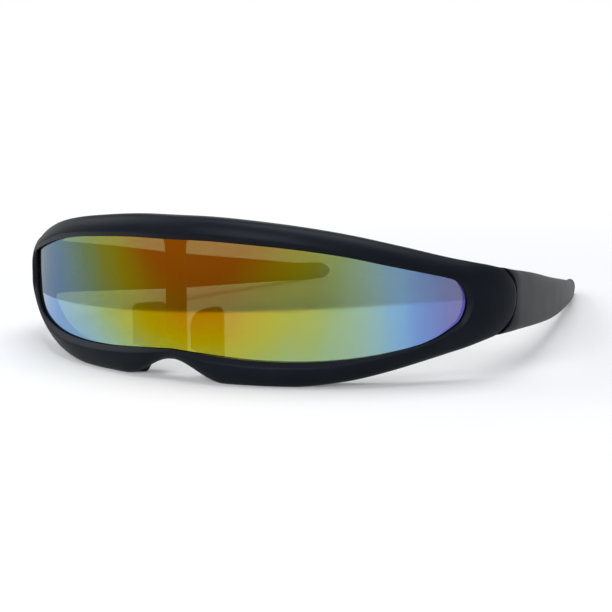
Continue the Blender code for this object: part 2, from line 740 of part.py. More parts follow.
def make_leaf(name, side, back_sign, knuckles, parent):
    """Hinge leaf: a plate in its pocket, with knuckles round the pin."""
    outer, inner = leaf_face()
    start = KNUCKLE_RADIUS + CLEARANCE
    back = sorted((back_sign * start, back_sign * LEAF_LENGTH))
    half = LEAF_HEIGHT / 2
    leaf = mesh_object(name, hinge_box(name, side, back, (outer, inner), (-half, half)), PARTS, parent)
    for number, middle in enumerate(knuckles):
        low, high = middle - KNUCKLE_HEIGHT / 2, middle + KNUCKLE_HEIGHT / 2
        neck_back = sorted((0.0, back_sign * (start + OVERRUN)))
        neck = hinge_box("%s_neck_%d" % (name, number), side, neck_back, (outer, inner),
                         (low + NECK_INSET, high - NECK_INSET))
        knuckle = cylinder_mesh("%s_knuckle_%d" % (name, number), KNUCKLE_RADIUS, low, high)
        add_boolean(leaf, make_cutter(neck.name, neck, parent), "UNION")
        add_boolean(leaf, make_cutter(knuckle.name, knuckle, parent), "UNION")
    bore = cylinder_mesh(name + "_bore", PIN_RADIUS + CLEARANCE, -BARREL_HEIGHT, BARREL_HEIGHT)
    add_boolean(leaf, make_cutter(bore.name, bore, parent), "DIFFERENCE")
    for number, place in enumerate(leaf_screw_places(back_sign)):
        hole = cylinder_mesh("%s_hole_%d" % (name, number), LEAF_SCREW_RADIUS + CLEARANCE,
                             outer - OVERRUN, inner + OVERRUN,
                             Matrix.Translation((place, 0.0, 0.0)) @ across_turn(side))
        add_boolean(leaf, make_cutter(hole.name, hole, parent), "DIFFERENCE")
    leaf.data.materials.append(HINGE_STEEL)
    return leaf


def turned_piece(name, profile, parent, place):
    """Turned piece from a profile of radius and height, run down its outer side."""
    mesh = bpy.data.meshes.new(name)
    form = bmesh.new()
    corners = [form.verts.new((radius, 0.0, height)) for radius, height in profile]
    for low, high in zip(corners, corners[1:]):
        form.edges.new((low, high))
    form.to_mesh(mesh)
    form.free()
    piece = mesh_object(name, mesh, PARTS, parent)
    piece.matrix_local = place
    screw = piece.modifiers.new("turn", "SCREW")
    screw.steps = ROUND_SEGMENTS
    screw.render_steps = ROUND_SEGMENTS
    screw.use_merge_vertices = True
    screw.merge_threshold = MERGE
    screw.use_smooth_shade = True
    return piece


def make_screw(name, parent, place, head_radius, head_height, shank_radius, length):
    """Screw with a flat head, a fine slot and a chamfered tip, its head's seat at height zero."""
    chamfer = shank_radius / 2
    edge = head_height / 3
    profile = ((0.0, head_height), (head_radius - edge, head_height), (head_radius, head_height - edge),
               (head_radius, 0.0), (shank_radius, 0.0), (shank_radius, chamfer - length),
               (shank_radius - chamfer, -length), (0.0, -length))
    piece = turned_piece(name, profile, parent, place)
    slot = box_mesh(name + "_slot", (-head_radius * 2, -DRIVE_WIDTH / 2, head_height - DRIVE_DEPTH),
                    (head_radius * 2, DRIVE_WIDTH / 2, head_height * 2))
    cutter = make_cutter(slot.name, slot, parent)
    cutter.matrix_local = place
    add_boolean(piece, cutter, "DIFFERENCE")
    piece.data.materials.append(HINGE_STEEL)
    return piece


def make_leaf_screws(owner, word, side, back_sign, parent):
    """The two screws that hold a hinge leaf, with their heads inward."""
    seat = Matrix.Translation((0.0, side * (leaf_face()[1] + CLEARANCE), 0.0))
    for label, place in zip(("near", "far"), leaf_screw_places(back_sign)):
        matrix = Matrix.Translation((place, 0.0, 0.0)) @ seat @ across_turn(side)
        make_screw("%s_screw_%s_%s" % (owner, label, word), parent, matrix, LEAF_SCREW_HEAD_RADIUS,
                   LEAF_SCREW_HEAD_HEIGHT, LEAF_SCREW_RADIUS, LEAF_SCREW_LENGTH + CLEARANCE)


def make_hinge(word, side, frame, parent):
    """One side's hinge, with the arm that it carries."""
    arm = make_temple("temple_" + word, side, parent)
    step = KNUCKLE_HEIGHT + CLEARANCE
    # The exact solver loses the front at a pocket when the lens is made shorter
    cut_hinge_pocket(frame, "endpiece_" + word, side, -1, parent, "MANIFOLD")
    cut_hinge_pocket(arm, "temple_" + word, side, 1, parent, "EXACT")
    make_leaf("endpiece_leaf_" + word, side, -1, (-step, step), parent)
    make_leaf("temple_leaf_" + word, side, 1, (0.0,), parent)
    make_leaf_screws("endpiece", word, side, -1, parent)
    make_leaf_screws("temple", word, side, 1, parent)
    pin_place = Matrix.Translation((0.0, 0.0, BARREL_HEIGHT / 2 + CLEARANCE))
    make_screw("hinge_screw_" + word, parent, pin_place, PIN_HEAD_RADIUS, PIN_HEAD_HEIGHT, PIN_RADIUS,
               BARREL_HEIGHT + CLEARANCE + PIN_TAIL)
    return arm


def evaluated_bounds(pieces):
    """Lowest and highest corner of some pieces in world space."""
    graph = bpy.context.evaluated_depsgraph_get()
    corners = []
    for piece in pieces:
        shown = piece.evaluated_get(graph)
        corners += [shown.matrix_world @ vertex.co for vertex in shown.data.vertices]
    low = Vector([min(corner[axis] for corner in corners) for axis in range(3)])
    high = Vector([max(corner[axis] for corner in corners) for axis in range(3)])
    return low, high


def set_on_table(stand, resting):
    """Flatten what touches the table and bring the origin under the middle of the glasses."""
    low, high = evaluated_bounds(resting)
    table = low.z + REST_FLAT_DEPTH
    margin = high - low
    mesh = box_mesh("table_cutter", low - margin, (high.x + margin.x, high.y + margin.y, table))
    cutter = make_cutter("table_cutter", mesh, stand)
    for piece in resting:
        add_boolean(piece, cutter, "DIFFERENCE")
    stand.location = (0.0, -(low.y + high.y) / 2, -table)


for old in list(bpy.data.objects):
    bpy.data.objects.remove(old, do_unlink=True)

PARTS = bpy.data.collections.new("shield_sunglasses")
CUTTERS = bpy.data.collections.new("cutters")
bpy.context.scene.collection.children.link(PARTS)
bpy.context.scene.collection.children.link(CUTTERS)

MATTE_BLACK = plastic("matte_black", (0.012, 0.014, 0.018), 0.48)
SOFT_RUBBER = plastic("soft_rubber", (0.01, 0.011, 0.013), 0.7)
LENS_MIRROR = plastic("lens_mirror", (0.55, 0.45, 0.12), 0.08, 0.9)
HINGE_STEEL = plastic("hinge_steel", (0.45, 0.46, 0.48), 0.35, 1.0)

stand = empty("stand")
lobe_rest = wrap(LENS_HALF_ARC * LOBE_SHARE, RIM_BACK - RIM_REAR_ROUND, 0.0)
tip_rest = wrap(TIP_ARC - ARM_TIP_ROUND, 0.0, ARM_TIP_BOTTOM)
lean = atan2(tip_rest.z, tip_rest.y - lobe_rest.y)
front = empty("front", stand, Matrix.Rotation(-lean, 4, "X"))
frame = make_front_frame(front)
make_lens(front)
arms = []
for word, sign in (("left", 1), ("right", -1)):
    make_nose_pad("nose_pad_" + word, sign, front)
    hinge = empty("hinge_" + word, front, hinge_matrix(sign))
    arms.append(make_hinge(word, sign, frame, hinge))
open_lens_window(frame, front)
set_on_table(stand, [frame] + arms)
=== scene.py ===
"""Looks of the shield sunglasses: matte black wrap front and arms, mirrored shield lens, soft nose pads.

Units are metres and +Z is up. The shapes are drawn in the front's own frame, over the same plan curve as the
solids: an arc length along the curve, a depth inward of it and a height. They are then leaned back and set
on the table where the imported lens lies.
"""

import logging
from collections.abc import Callable, Iterator, Sequence
from contextlib import contextmanager
from dataclasses import dataclass
from enum import Enum
from math import asin, atan2, cos, pi, radians, sin, sqrt
from typing import ClassVar

import bpy
from mathutils import Matrix, Vector


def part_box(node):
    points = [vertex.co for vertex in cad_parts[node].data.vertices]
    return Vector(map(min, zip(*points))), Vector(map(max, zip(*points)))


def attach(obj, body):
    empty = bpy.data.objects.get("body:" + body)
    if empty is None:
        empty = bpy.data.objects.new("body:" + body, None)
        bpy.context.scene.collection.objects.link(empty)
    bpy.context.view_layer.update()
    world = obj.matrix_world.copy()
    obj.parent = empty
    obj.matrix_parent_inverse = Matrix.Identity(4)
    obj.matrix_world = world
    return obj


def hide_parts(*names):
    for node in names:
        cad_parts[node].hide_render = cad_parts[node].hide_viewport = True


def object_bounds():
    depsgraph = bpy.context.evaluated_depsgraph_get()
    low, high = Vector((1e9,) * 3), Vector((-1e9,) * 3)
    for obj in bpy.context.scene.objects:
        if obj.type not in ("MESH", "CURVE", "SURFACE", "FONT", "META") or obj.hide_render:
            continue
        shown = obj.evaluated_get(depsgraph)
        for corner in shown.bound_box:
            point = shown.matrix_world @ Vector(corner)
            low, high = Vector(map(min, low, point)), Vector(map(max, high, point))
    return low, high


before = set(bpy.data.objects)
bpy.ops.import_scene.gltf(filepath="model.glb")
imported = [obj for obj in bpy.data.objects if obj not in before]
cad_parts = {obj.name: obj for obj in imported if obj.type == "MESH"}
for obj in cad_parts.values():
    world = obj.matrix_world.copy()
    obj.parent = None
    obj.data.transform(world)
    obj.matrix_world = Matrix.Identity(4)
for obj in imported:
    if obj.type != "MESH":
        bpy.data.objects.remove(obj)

LOG = logging.getLogger("shield_sunglasses")
CAD_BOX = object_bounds()

MM = 0.001
MERGE = 0.005 * MM
OVERRUN = 2.0 * MM
CLEARANCE = 0.3 * MM
SOLVE_STEPS = 40
NOISE_MIDDLE = 0.5
WHITE = (1.0, 1.0, 1.0)
SIDE_WORDS = {1: "left", -1: "right"}

Item = bpy.types.Object
Material = bpy.types.Material
Pair = tuple[float, float]
Triple = tuple[float, float, float]
Profile = list[Vector]
Colour = Triple
Stops = Sequence[tuple[float, Colour]]


class Ends(Enum):
    """How the first and last profiles of a loft are closed."""

    JOINED = "the last profile meets the first"
    FOLDED = "each end closes onto its profile's middle line"


class Slot(Enum):
    """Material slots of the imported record."""

    BLACK = "matte_black"
    LENS = "lens_mirror"
    RUBBER = "soft_rubber"


class Body(Enum):
    """Bodies that the pieces ride on."""

    FRONT = "front"
    ARM_LEFT = "arm_left"
    ARM_RIGHT = "arm_right"


def held(value: float, low: float = 0.0, high: float = 1.0) -> float:
    """Value held between two limits."""
    return min(max(value, low), high)


def evenly(low: float | Vector, high: float | Vector, steps: int) -> list:
    """Evenly spaced values or places from low to high, both among them."""
    return [low + (high - low) * step / steps for step in range(steps + 1)]


def eased(low: float, high: float, share: float) -> float:
    """Smooth step from low, at share 0 and below, to high, at share 1 and above."""
    share = held(share)
    return low + (high - low) * share * share * (3 - 2 * share)


def quarter_roll(share: float) -> float:
    """Drop of a quarter round as a share of its radius: 1 at its edge, 0 where it meets the face."""
    return 1 - sqrt(1 - (1 - held(share)) ** 2)


def quarter_round(steps: int) -> list[Pair]:
    """Steps round a quarter circle: the shares of its radius that are gone across and left to rise."""
    return [(1 - cos(turn), 1 - sin(turn)) for turn in evenly(0.0, pi / 2, steps)]


def ways_out(ring: Sequence[Vector]) -> list[Vector]:
    """Unit steps of arc and height out of a clockwise ring, one at each of its places."""
    steps = [(ahead - behind).normalized() for ahead, behind in zip([*ring[1:], ring[0]], [ring[-1], *ring])]
    return [Vector((-step.y, step.x)) for step in steps]


def furthest(inside: Callable[[Vector], bool], centre: Vector, heading: float, limit: float) -> Vector:
    """Last point of a ray that is still inside an outline.

    Args:
        inside: Tells whether a point of arc and height lies inside.
        centre: Start of the ray.
        heading: Angle of the ray above the arc's direction.
        limit: Longest reach that is tried.

    Returns:
        The point where the ray leaves the outline.
    """
    step = Vector((cos(heading), sin(heading)))
    low, high = 0.0, limit
    for _ in range(SOLVE_STEPS):
        middle = (low + high) / 2
        low, high = (middle, high) if inside(centre + step * middle) else (low, middle)
    return centre + step * low


@dataclass(frozen=True)
class ShareCurve:
    """Smooth curve through given shares of place and value."""

    shares: tuple[Pair, ...]
    blunt: bool = False

    def _place(self, place: float) -> float:
        """The place itself, or its angle where the curve's end is blunt."""
        return asin(held(place, -1.0)) if self.blunt else place

    def at(self, place: float) -> float:
        """Value at a place, by a Catmull-Rom spline.

        Args:
            place: Share along the curve, held to its ends.

        Returns:
            The share read there.
        """
        places = [self._place(row[0]) for row in self.shares]
        values = [row[1] for row in self.shares]
        place = held(self._place(place), places[0], places[-1])
        i = max(k for k in range(len(places) - 1) if places[k] <= place)
        gap = places[i + 1] - places[i]
        slopes = []
        for k in (i, i + 1):
            low, high = max(k - 1, 0), min(k + 1, len(places) - 1)
            slopes.append((values[high] - values[low]) / (places[high] - places[low]) * gap)
        t = (place - places[i]) / gap
        return eased(values[i], values[i + 1], t) + t * (t - 1) * ((t - 1) * slopes[0] + t * slopes[1])


@dataclass(frozen=True)
class PlanCurve:
    """Curve that the lens's outer face follows, round the corner and along the arm."""

    lens_radius: float = 94.2 * MM
    lens_half_arc: float = 75.2 * MM
    corner_radius: float = 20.7 * MM
    arm_heading: float = radians(98.0)
    arm_bow: float = radians(12.0)
    arm_length: float = 113.0 * MM

    @property
    def corner_arc(self) -> float:
        """Arc length of the corner."""
        return self.corner_radius * (self.arm_heading - self.lens_half_arc / self.lens_radius)

    @property
    def tip_arc(self) -> float:
        """Arc at the arm's tip."""
        return self.lens_half_arc + self.corner_arc + self.arm_length

    def point(self, arc: float, depth: float, height: float) -> Vector:
        """Point in the front's frame.

        Args:
            arc: Length along the curve, negative on the wearer's right.
            depth: Distance inward of the curve.
            height: Height above the front's lowest place.

        Returns:
            The point.
        """
        run, x, y, turn = abs(arc), 0.0, 0.0, 0.0
        pieces = ((self.lens_radius, self.lens_half_arc), (self.corner_radius, self.corner_arc),
                  (self.arm_length / self.arm_bow, run))
        for radius, length in pieces:
            step = min(run, length)
            after = turn + step / radius
            x += radius * (sin(after) - sin(turn))
            y += radius * (cos(turn) - cos(after))
            turn = after
            run -= step
        x -= depth * sin(turn)
        y += depth * cos(turn)
        return Vector((-x if arc < 0 else x, y, height))

    def heading(self, arc: float) -> float:
        """Heading of the curve at an arc, from +X towards +Y."""
        ahead = self.point(arc + MERGE, 0.0, 0.0) - self.point(arc, 0.0, 0.0)
        return atan2(ahead.y, ahead.x)


@dataclass(frozen=True)
class FrontShape:
    """Outlines and section of the front, in arc, depth and height, and the sizes that pieces share."""

    plan: PlanCurve = PlanCurve()
    lower_rim: float = 6.6 * MM
    lens_drop: float = 14.4 * MM
    lens_rise: float = 14.2 * MM
    upper_rim: float = 5.7 * MM
    lens_thickness: float = 1.6 * MM
    lens_seat: float = 1.0 * MM
    notch_rise: float = 5.1 * MM
    notch_half_width: float = 15.6 * MM
    notch_rear_rise: float = 4.4 * MM
    notch_rear_flat: float = 8.5 * MM
    notch_rear_half_width: float = 12.0 * MM
    rim_proud: float = 2.1 * MM
    rim_back: float = 5.6 * MM
    rim_crown_height: float = 4.6 * MM
    rim_crown_depth: float = 3.6 * MM
    rear_lip: float = 1.2 * MM
    rear_flare: float = 1.6 * MM
    rear_round: float = 1.6 * MM
    corner_crown_height: float = 10.0 * MM
    corner_crown_depth: float = 5.2 * MM
    endpiece_proud: float = 1.5 * MM
    endpiece_back: float = 3.4 * MM
    endpiece_crown_depth: float = 2.6 * MM
    seam_crest: float = 15.1 * MM
    seam_sag: float = 4.2 * MM
    seam_half_height: float = 8.0 * MM
    seam_round: float = 0.5 * MM
    hinge_rise: float = 0.3 * MM
    arm_tip_bottom: float = 6.4 * MM
    arm_tip_round: float = 5.0 * MM
    lobe_share: float = 0.3
    corner_start_share: float = 0.85
    crown_start_share: float = 0.4
    crown_limit_share: float = 0.42
    window_top_shares: ShareCurve = ShareCurve((
        (0.0, 1.0), (0.15, 1.0), (0.3, 0.96), (0.45, 0.895), (0.6, 0.79), (0.75, 0.627), (0.87, 0.493),
        (0.96, 0.37), (0.98, 0.278), (1.0, 0.0)), blunt=True)
    window_bottom_shares: ShareCurve = ShareCurve((
        (0.0, 0.917), (0.15, 0.958), (0.3, 1.0), (0.45, 1.0), (0.6, 0.951), (0.75, 0.83), (0.87, 0.667),
        (0.96, 0.41), (0.98, 0.319), (1.0, 0.0)), blunt=True)
    top_shares: ShareCurve = ShareCurve((
        (0.0, 1.0), (0.14, 0.998), (0.28, 0.983), (0.455, 0.951), (0.62, 0.905), (0.79, 0.839),
        (0.96, 0.766), (1.08, 0.725), (1.2, 0.68), (1.4, 0.62)))
    bottom_shares: ShareCurve = ShareCurve((
        (0.0, 0.0), (0.22, 0.0), (0.36, 0.0), (0.46, 0.006), (0.6, 0.038), (0.7, 0.075), (0.84, 0.142),
        (0.98, 0.215), (1.1, 0.278), (1.25, 0.33), (1.4, 0.345)))

    @property
    def tip_height(self) -> float:
        """Height of the lens's two tips."""
        return self.lower_rim + self.lens_drop

    @property
    def height(self) -> float:
        """Height of the whole front."""
        return self.tip_height + self.lens_rise + self.upper_rim

    @property
    def hinge_height(self) -> float:
        """Height of the hinges' middle."""
        return self.tip_height + self.hinge_rise

    @property
    def seam_crest_arc(self) -> float:
        """Arc where the seam lies furthest back."""
        return self.plan.lens_half_arc + self.seam_crest

    @property
    def behind_lens(self) -> float:
        """Depth at which the room behind the lens begins."""
        return self.lens_thickness + CLEARANCE

    @property
    def lip_back(self) -> float:
        """Depth of the rear lip's back, where the rim's flare begins."""
        return self.lens_thickness + self.rear_lip

    def place(self, arc: float) -> float:
        """Share of the lens's half arc at an arc."""
        return abs(arc) / self.plan.lens_half_arc

    def window_top(self, arc: float) -> float:
        """Height of the lens window's top edge."""
        return self.tip_height + self.lens_rise * self.window_top_shares.at(self.place(arc))

    def window_bottom(self, arc: float) -> float:
        """Height of the lens window's bottom edge."""
        return self.tip_height - self.lens_drop * self.window_bottom_shares.at(self.place(arc))

    def top(self, arc: float) -> float:
        """Height of the front's top edge."""
        return self.height * self.top_shares.at(self.place(arc))

    def _notched(self, arc: float, rise: float, flat: float, half_width: float) -> float:
        """Height of the bottom edge, raised by a notch with a flat top and eased sides."""
        share = held((abs(arc) - flat) / (half_width - flat))
        return self.height * self.bottom_shares.at(self.place(arc)) + rise * (1 + cos(pi * share)) / 2

    def bottom(self, arc: float) -> float:
        """Height of the front's bottom edge at its outer face."""
        return self._notched(arc, self.notch_rise, 0.0, self.notch_half_width)

    def rear_bottom(self, arc: float) -> float:
        """Height of the bottom edge at the back, where the notch is wider and steeper."""
        return self._notched(arc, self.notch_rear_rise, self.notch_rear_flat, self.notch_rear_half_width)

    def seam_setback(self, height: float) -> float:
        """How far the seam lies in front of its crest at a height."""
        return self.seam_sag * ((height - self.hinge_height) / self.seam_half_height) ** 2

    def seam_room(self, arc: float, height: float) -> float:
        """Distance from a place to the seam behind it."""
        return self.seam_crest_arc - self.seam_setback(height) - abs(arc)

    def corner_share(self, arc: float) -> float:
        """Share of the way from where the rim begins to turn to the seam's crest."""
        start = self.plan.lens_half_arc * self.corner_start_share
        return (abs(arc) - start) / (self.seam_crest_arc - start)

    def inner_depth(self, arc: float) -> float:
        """Depth of the front's inner face."""
        return eased(self.rim_back, self.endpiece_back, self.corner_share(arc))

    def face_depth(self, arc: float, height: float) -> float:
        """Depth of the outer face, with its rounded top, bottom and seam edges.

        Args:
            arc: Place along the front.
            height: Height of the place.

        Returns:
            The depth, negative outward of the lens's face.
        """
        start = self.plan.lens_half_arc * self.crown_start_share
        share = (abs(arc) - start) / (self.plan.lens_half_arc - start)
        corner = self.corner_share(arc)
        top, bottom = self.top(arc), self.bottom(arc)
        crown = min(eased(self.rim_crown_height, self.corner_crown_height, share),
                    (top - bottom) * self.crown_limit_share)
        depth = eased(eased(self.rim_crown_depth, self.corner_crown_depth, share),
                      self.endpiece_crown_depth, corner)
        roll = depth * quarter_roll(min(height - bottom, top - height) / crown)
        seam_roll = self.seam_round * quarter_roll(self.seam_room(arc, height) / self.seam_round)
        return -eased(self.rim_proud, self.endpiece_proud, corner) + roll + seam_roll

    def in_window(self, place: Vector) -> bool:
        """Whether a place of arc and height lies in the lens window."""
        arc, height = place
        return arc < self.plan.lens_half_arc and self.window_bottom(arc) < height < self.window_top(arc)

    def in_front(self, place: Vector) -> bool:
        """Whether a place of arc and height lies on the front."""
        arc, height = place
        return self.seam_room(arc, height) > 0 and self.bottom(arc) < height < self.top(arc)

    def rest(self) -> Matrix:
        """Place of the front's frame, leaned back onto its lobes and arm tips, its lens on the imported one.

        Returns:
            The matrix from the front's frame to the world.
        """
        plan = self.plan
        lobe = plan.point(plan.lens_half_arc * self.lobe_share, self.rim_back - self.rear_round, 0.0)
        tip = plan.point(plan.tip_arc - self.arm_tip_round, 0.0, self.arm_tip_bottom)
        turn = Matrix.Rotation(-atan2(tip.z, tip.y - lobe.y), 4, "X")
        low_edge = turn @ Vector((0.0, 0.0, self.window_bottom(0.0) - self.lens_seat))
        high_edge = turn @ Vector((0.0, 0.0, self.window_top(0.0) + self.lens_seat))
        low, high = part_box("shield_lens")
        return Matrix.Translation((0.0, low.y - low_edge.y, high.z - high_edge.z)) @ turn


def pick(piece: Item) -> None:
    """Leaves only one piece selected and active.

    Args:
        piece: The piece.
    """
    bpy.ops.object.select_all(action="DESELECT")
    piece.select_set(True)
    bpy.context.view_layer.objects.active = piece


@contextmanager
def editing(piece: Item) -> Iterator[None]:
    """Edit mode on one piece, with all of its mesh selected.

    Args:
        piece: The piece.

    Returns:
        Nothing, once, while edit mode is on.
    """
    pick(piece)
    bpy.ops.object.mode_set(mode="EDIT")
    bpy.ops.mesh.select_all(action="SELECT")
    yield
    bpy.ops.object.mode_set(mode="OBJECT")


def loft(name: str, profiles: Sequence[Profile], ends: Ends) -> Item:
    """Closed piece through a row of closed profiles, from a grid that is bent to them.

    Args:
        name: Name of the piece.
        profiles: Profiles of equal count. Where the ends fold, a profile's points pair up from its two
            ends inward.
        ends: How the first and last profiles are closed.

    Returns:
        The piece, facing outward.
    """
    if ends is Ends.FOLDED:
        first, last = ([(a + b) / 2 for a, b in zip(row, row[::-1])] for row in (profiles[0], profiles[-1]))
        rows = [first, *profiles, last]
    else:
        rows = [*profiles, profiles[0]]
    bpy.ops.object.select_all(action="DESELECT")
    bpy.ops.mesh.primitive_grid_add(x_subdivisions=len(rows[0]), y_subdivisions=len(rows) - 1, size=1.0)
    piece = bpy.context.object
    piece.name = name
    piece.data.name = name
    points = [point for row in rows for point in [*row, row[0]]]
    for vertex, point in zip(piece.data.vertices, points, strict=True):
        vertex.co = point
    with editing(piece):
        bpy.ops.mesh.remove_doubles(threshold=MERGE)
        bpy.ops.mesh.dissolve_degenerate(threshold=MERGE)
        bpy.ops.mesh.select_all(action="SELECT")
        bpy.ops.mesh.normals_make_consistent(inside=False)
    return piece


def settled(piece: Item, place: Matrix | None = None) -> Item:
    """Moves a piece's place into its mesh.

    Args:
        piece: The piece.
        place: Matrix that moves it on from there.

    Returns:
        The piece.
    """
    bpy.context.view_layer.update()
    piece.data.transform((place or Matrix.Identity(4)) @ piece.matrix_world)
    piece.matrix_world = Matrix.Identity(4)
    return piece


def combine(piece: Item, tool: Item, operation: str) -> None:
    """Cuts a tool out of a piece, or joins it on, and removes the tool.

    Args:
        piece: The piece that is changed.
        tool: The closed mesh that cuts or joins.
        operation: DIFFERENCE or UNION.
    """
    pick(piece)
    modifier = piece.modifiers.new("combine", "BOOLEAN")
    modifier.operation = operation
    modifier.object = tool
    modifier.solver = "MANIFOLD"
    bpy.ops.object.modifier_apply(modifier=modifier.name)
    bpy.data.objects.remove(tool, do_unlink=True)


def trim(piece: Item) -> None:
    """Takes off what lies under the table's top, and holds the corners inside the solids' box.

    Args:
        piece: The piece, in its place.
    """
    with editing(piece):
        bpy.ops.mesh.bisect(plane_co=(0.0, 0.0, 0.0), plane_no=(0.0, 0.0, 1.0), use_fill=True,
                            clear_inner=True)
    for vertex in piece.data.vertices:
        vertex.co = [held(value, low, high) for value, low, high in zip(vertex.co, *CAD_BOX)]


def dress(piece: Item, *materials: Material) -> None:
    """Gives a piece its materials in place of any that it has.

    Args:
        piece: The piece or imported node.
        materials: Its materials, in the order of its slots.
    """
    piece.data.materials.clear()
    for material in materials:
        piece.data.materials.append(material)


@dataclass
class Piece:
    """A piece that is drawn over the plan curve, in the front's frame."""

    shape: FrontShape
    smooth_angle: ClassVar[float] = radians(34.0)

    def form(self) -> Item:
        """The piece's mesh, still in the front's frame."""
        raise NotImplementedError

    def build(self, *materials: Material) -> Item:
        """The piece in its place, trimmed, smoothed and dressed.

        Args:
            materials: Materials of its faces.

        Returns:
            The finished piece.
        """
        piece = settled(self.form(), self.shape.rest())
        trim(piece)
        pick(piece)
        bpy.ops.object.shade_smooth_by_angle(angle=self.smooth_angle)
        dress(piece, *materials)
        return piece


@dataclass(frozen=True)
class HingeRoom:
    """Room that the front and the arms leave for a hinge's leaves, barrel and screws."""

    shape: FrontShape
    axis_depth: float = 4.7 * MM
    knuckle_radius: float = 1.9 * MM
    barrel_height: float = 6.6 * MM
    pin_tail: float = 0.5 * MM
    pin_head: float = 0.6 * MM
    leaf_thickness: float = 1.0 * MM
    leaf_offset: float = 1.3 * MM
    leaf_length: float = 9.0 * MM
    leaf_height: float = 6.0 * MM
    screw_places: tuple[float, ...] = (4.3 * MM, 7.3 * MM)
    screw_radius: float = 0.5 * MM
    screw_length: float = 2.6 * MM
    screw_sides: int = 24

    def place(self, side: int) -> Matrix:
        """Hinge's place.

        Args:
            side: 1 on the wearer's left, -1 on the right.

        Returns:
            The matrix from the hinge's frame, X back along the seam's tangent and Z up the pin.
        """
        plan, arc = self.shape.plan, self.shape.seam_crest_arc
        turn = plan.heading(arc) if side > 0 else pi - plan.heading(arc)
        point = plan.point(side * arc, self.axis_depth, self.shape.hinge_height)
        return Matrix.Translation(point) @ Matrix.Rotation(turn, 4, "Z")

    def cut(self, piece: Item, side: int, back_sign: int) -> None:
        """Cuts the pocket and the screws' bores in an endpiece or an arm.

        Args:
            piece: The front or an arm, still in the front's frame.
            side: 1 on the wearer's left, -1 on the right.
            back_sign: -1 for the endpiece's leaf, 1 for the arm's.
        """
        floor = -self.leaf_offset - self.leaf_thickness - CLEARANCE
        open_side = self.axis_depth + OVERRUN
        half = self.leaf_height / 2 + CLEARANCE
        wide = self.knuckle_radius + 2 * CLEARANCE
        low = -self.barrel_height / 2 - self.pin_tail - 2 * CLEARANCE
        high = self.barrel_height / 2 + self.pin_head + 3 * CLEARANCE
        leaf = (-back_sign * OVERRUN, back_sign * (self.leaf_length + CLEARANCE))
        rooms = []
        bpy.ops.object.select_all(action="DESELECT")
        for back, inward, up in ((leaf, (floor, open_side), (-half, half)),
                                 ((-wide, wide), (floor + MERGE, open_side), (low, high))):
            across = sorted(side * value for value in inward)
            near, far = (Vector(corner) for corner in zip(sorted(back), across, up))
            bpy.ops.mesh.primitive_cube_add(size=1.0, location=(near + far) / 2, scale=far - near)
            rooms.append(bpy.context.object)
        bore = self.screw_length + CLEARANCE
        for along in self.screw_places:
            bpy.ops.mesh.primitive_cylinder_add(
                vertices=self.screw_sides, radius=self.screw_radius + CLEARANCE, depth=bore,
                location=(back_sign * along, -side * (self.leaf_offset + bore / 2), 0.0),
                rotation=(pi / 2, 0.0, 0.0))
            rooms.append(bpy.context.object)
        for room in rooms:
            combine(piece, settled(room, self.place(side)), "DIFFERENCE")


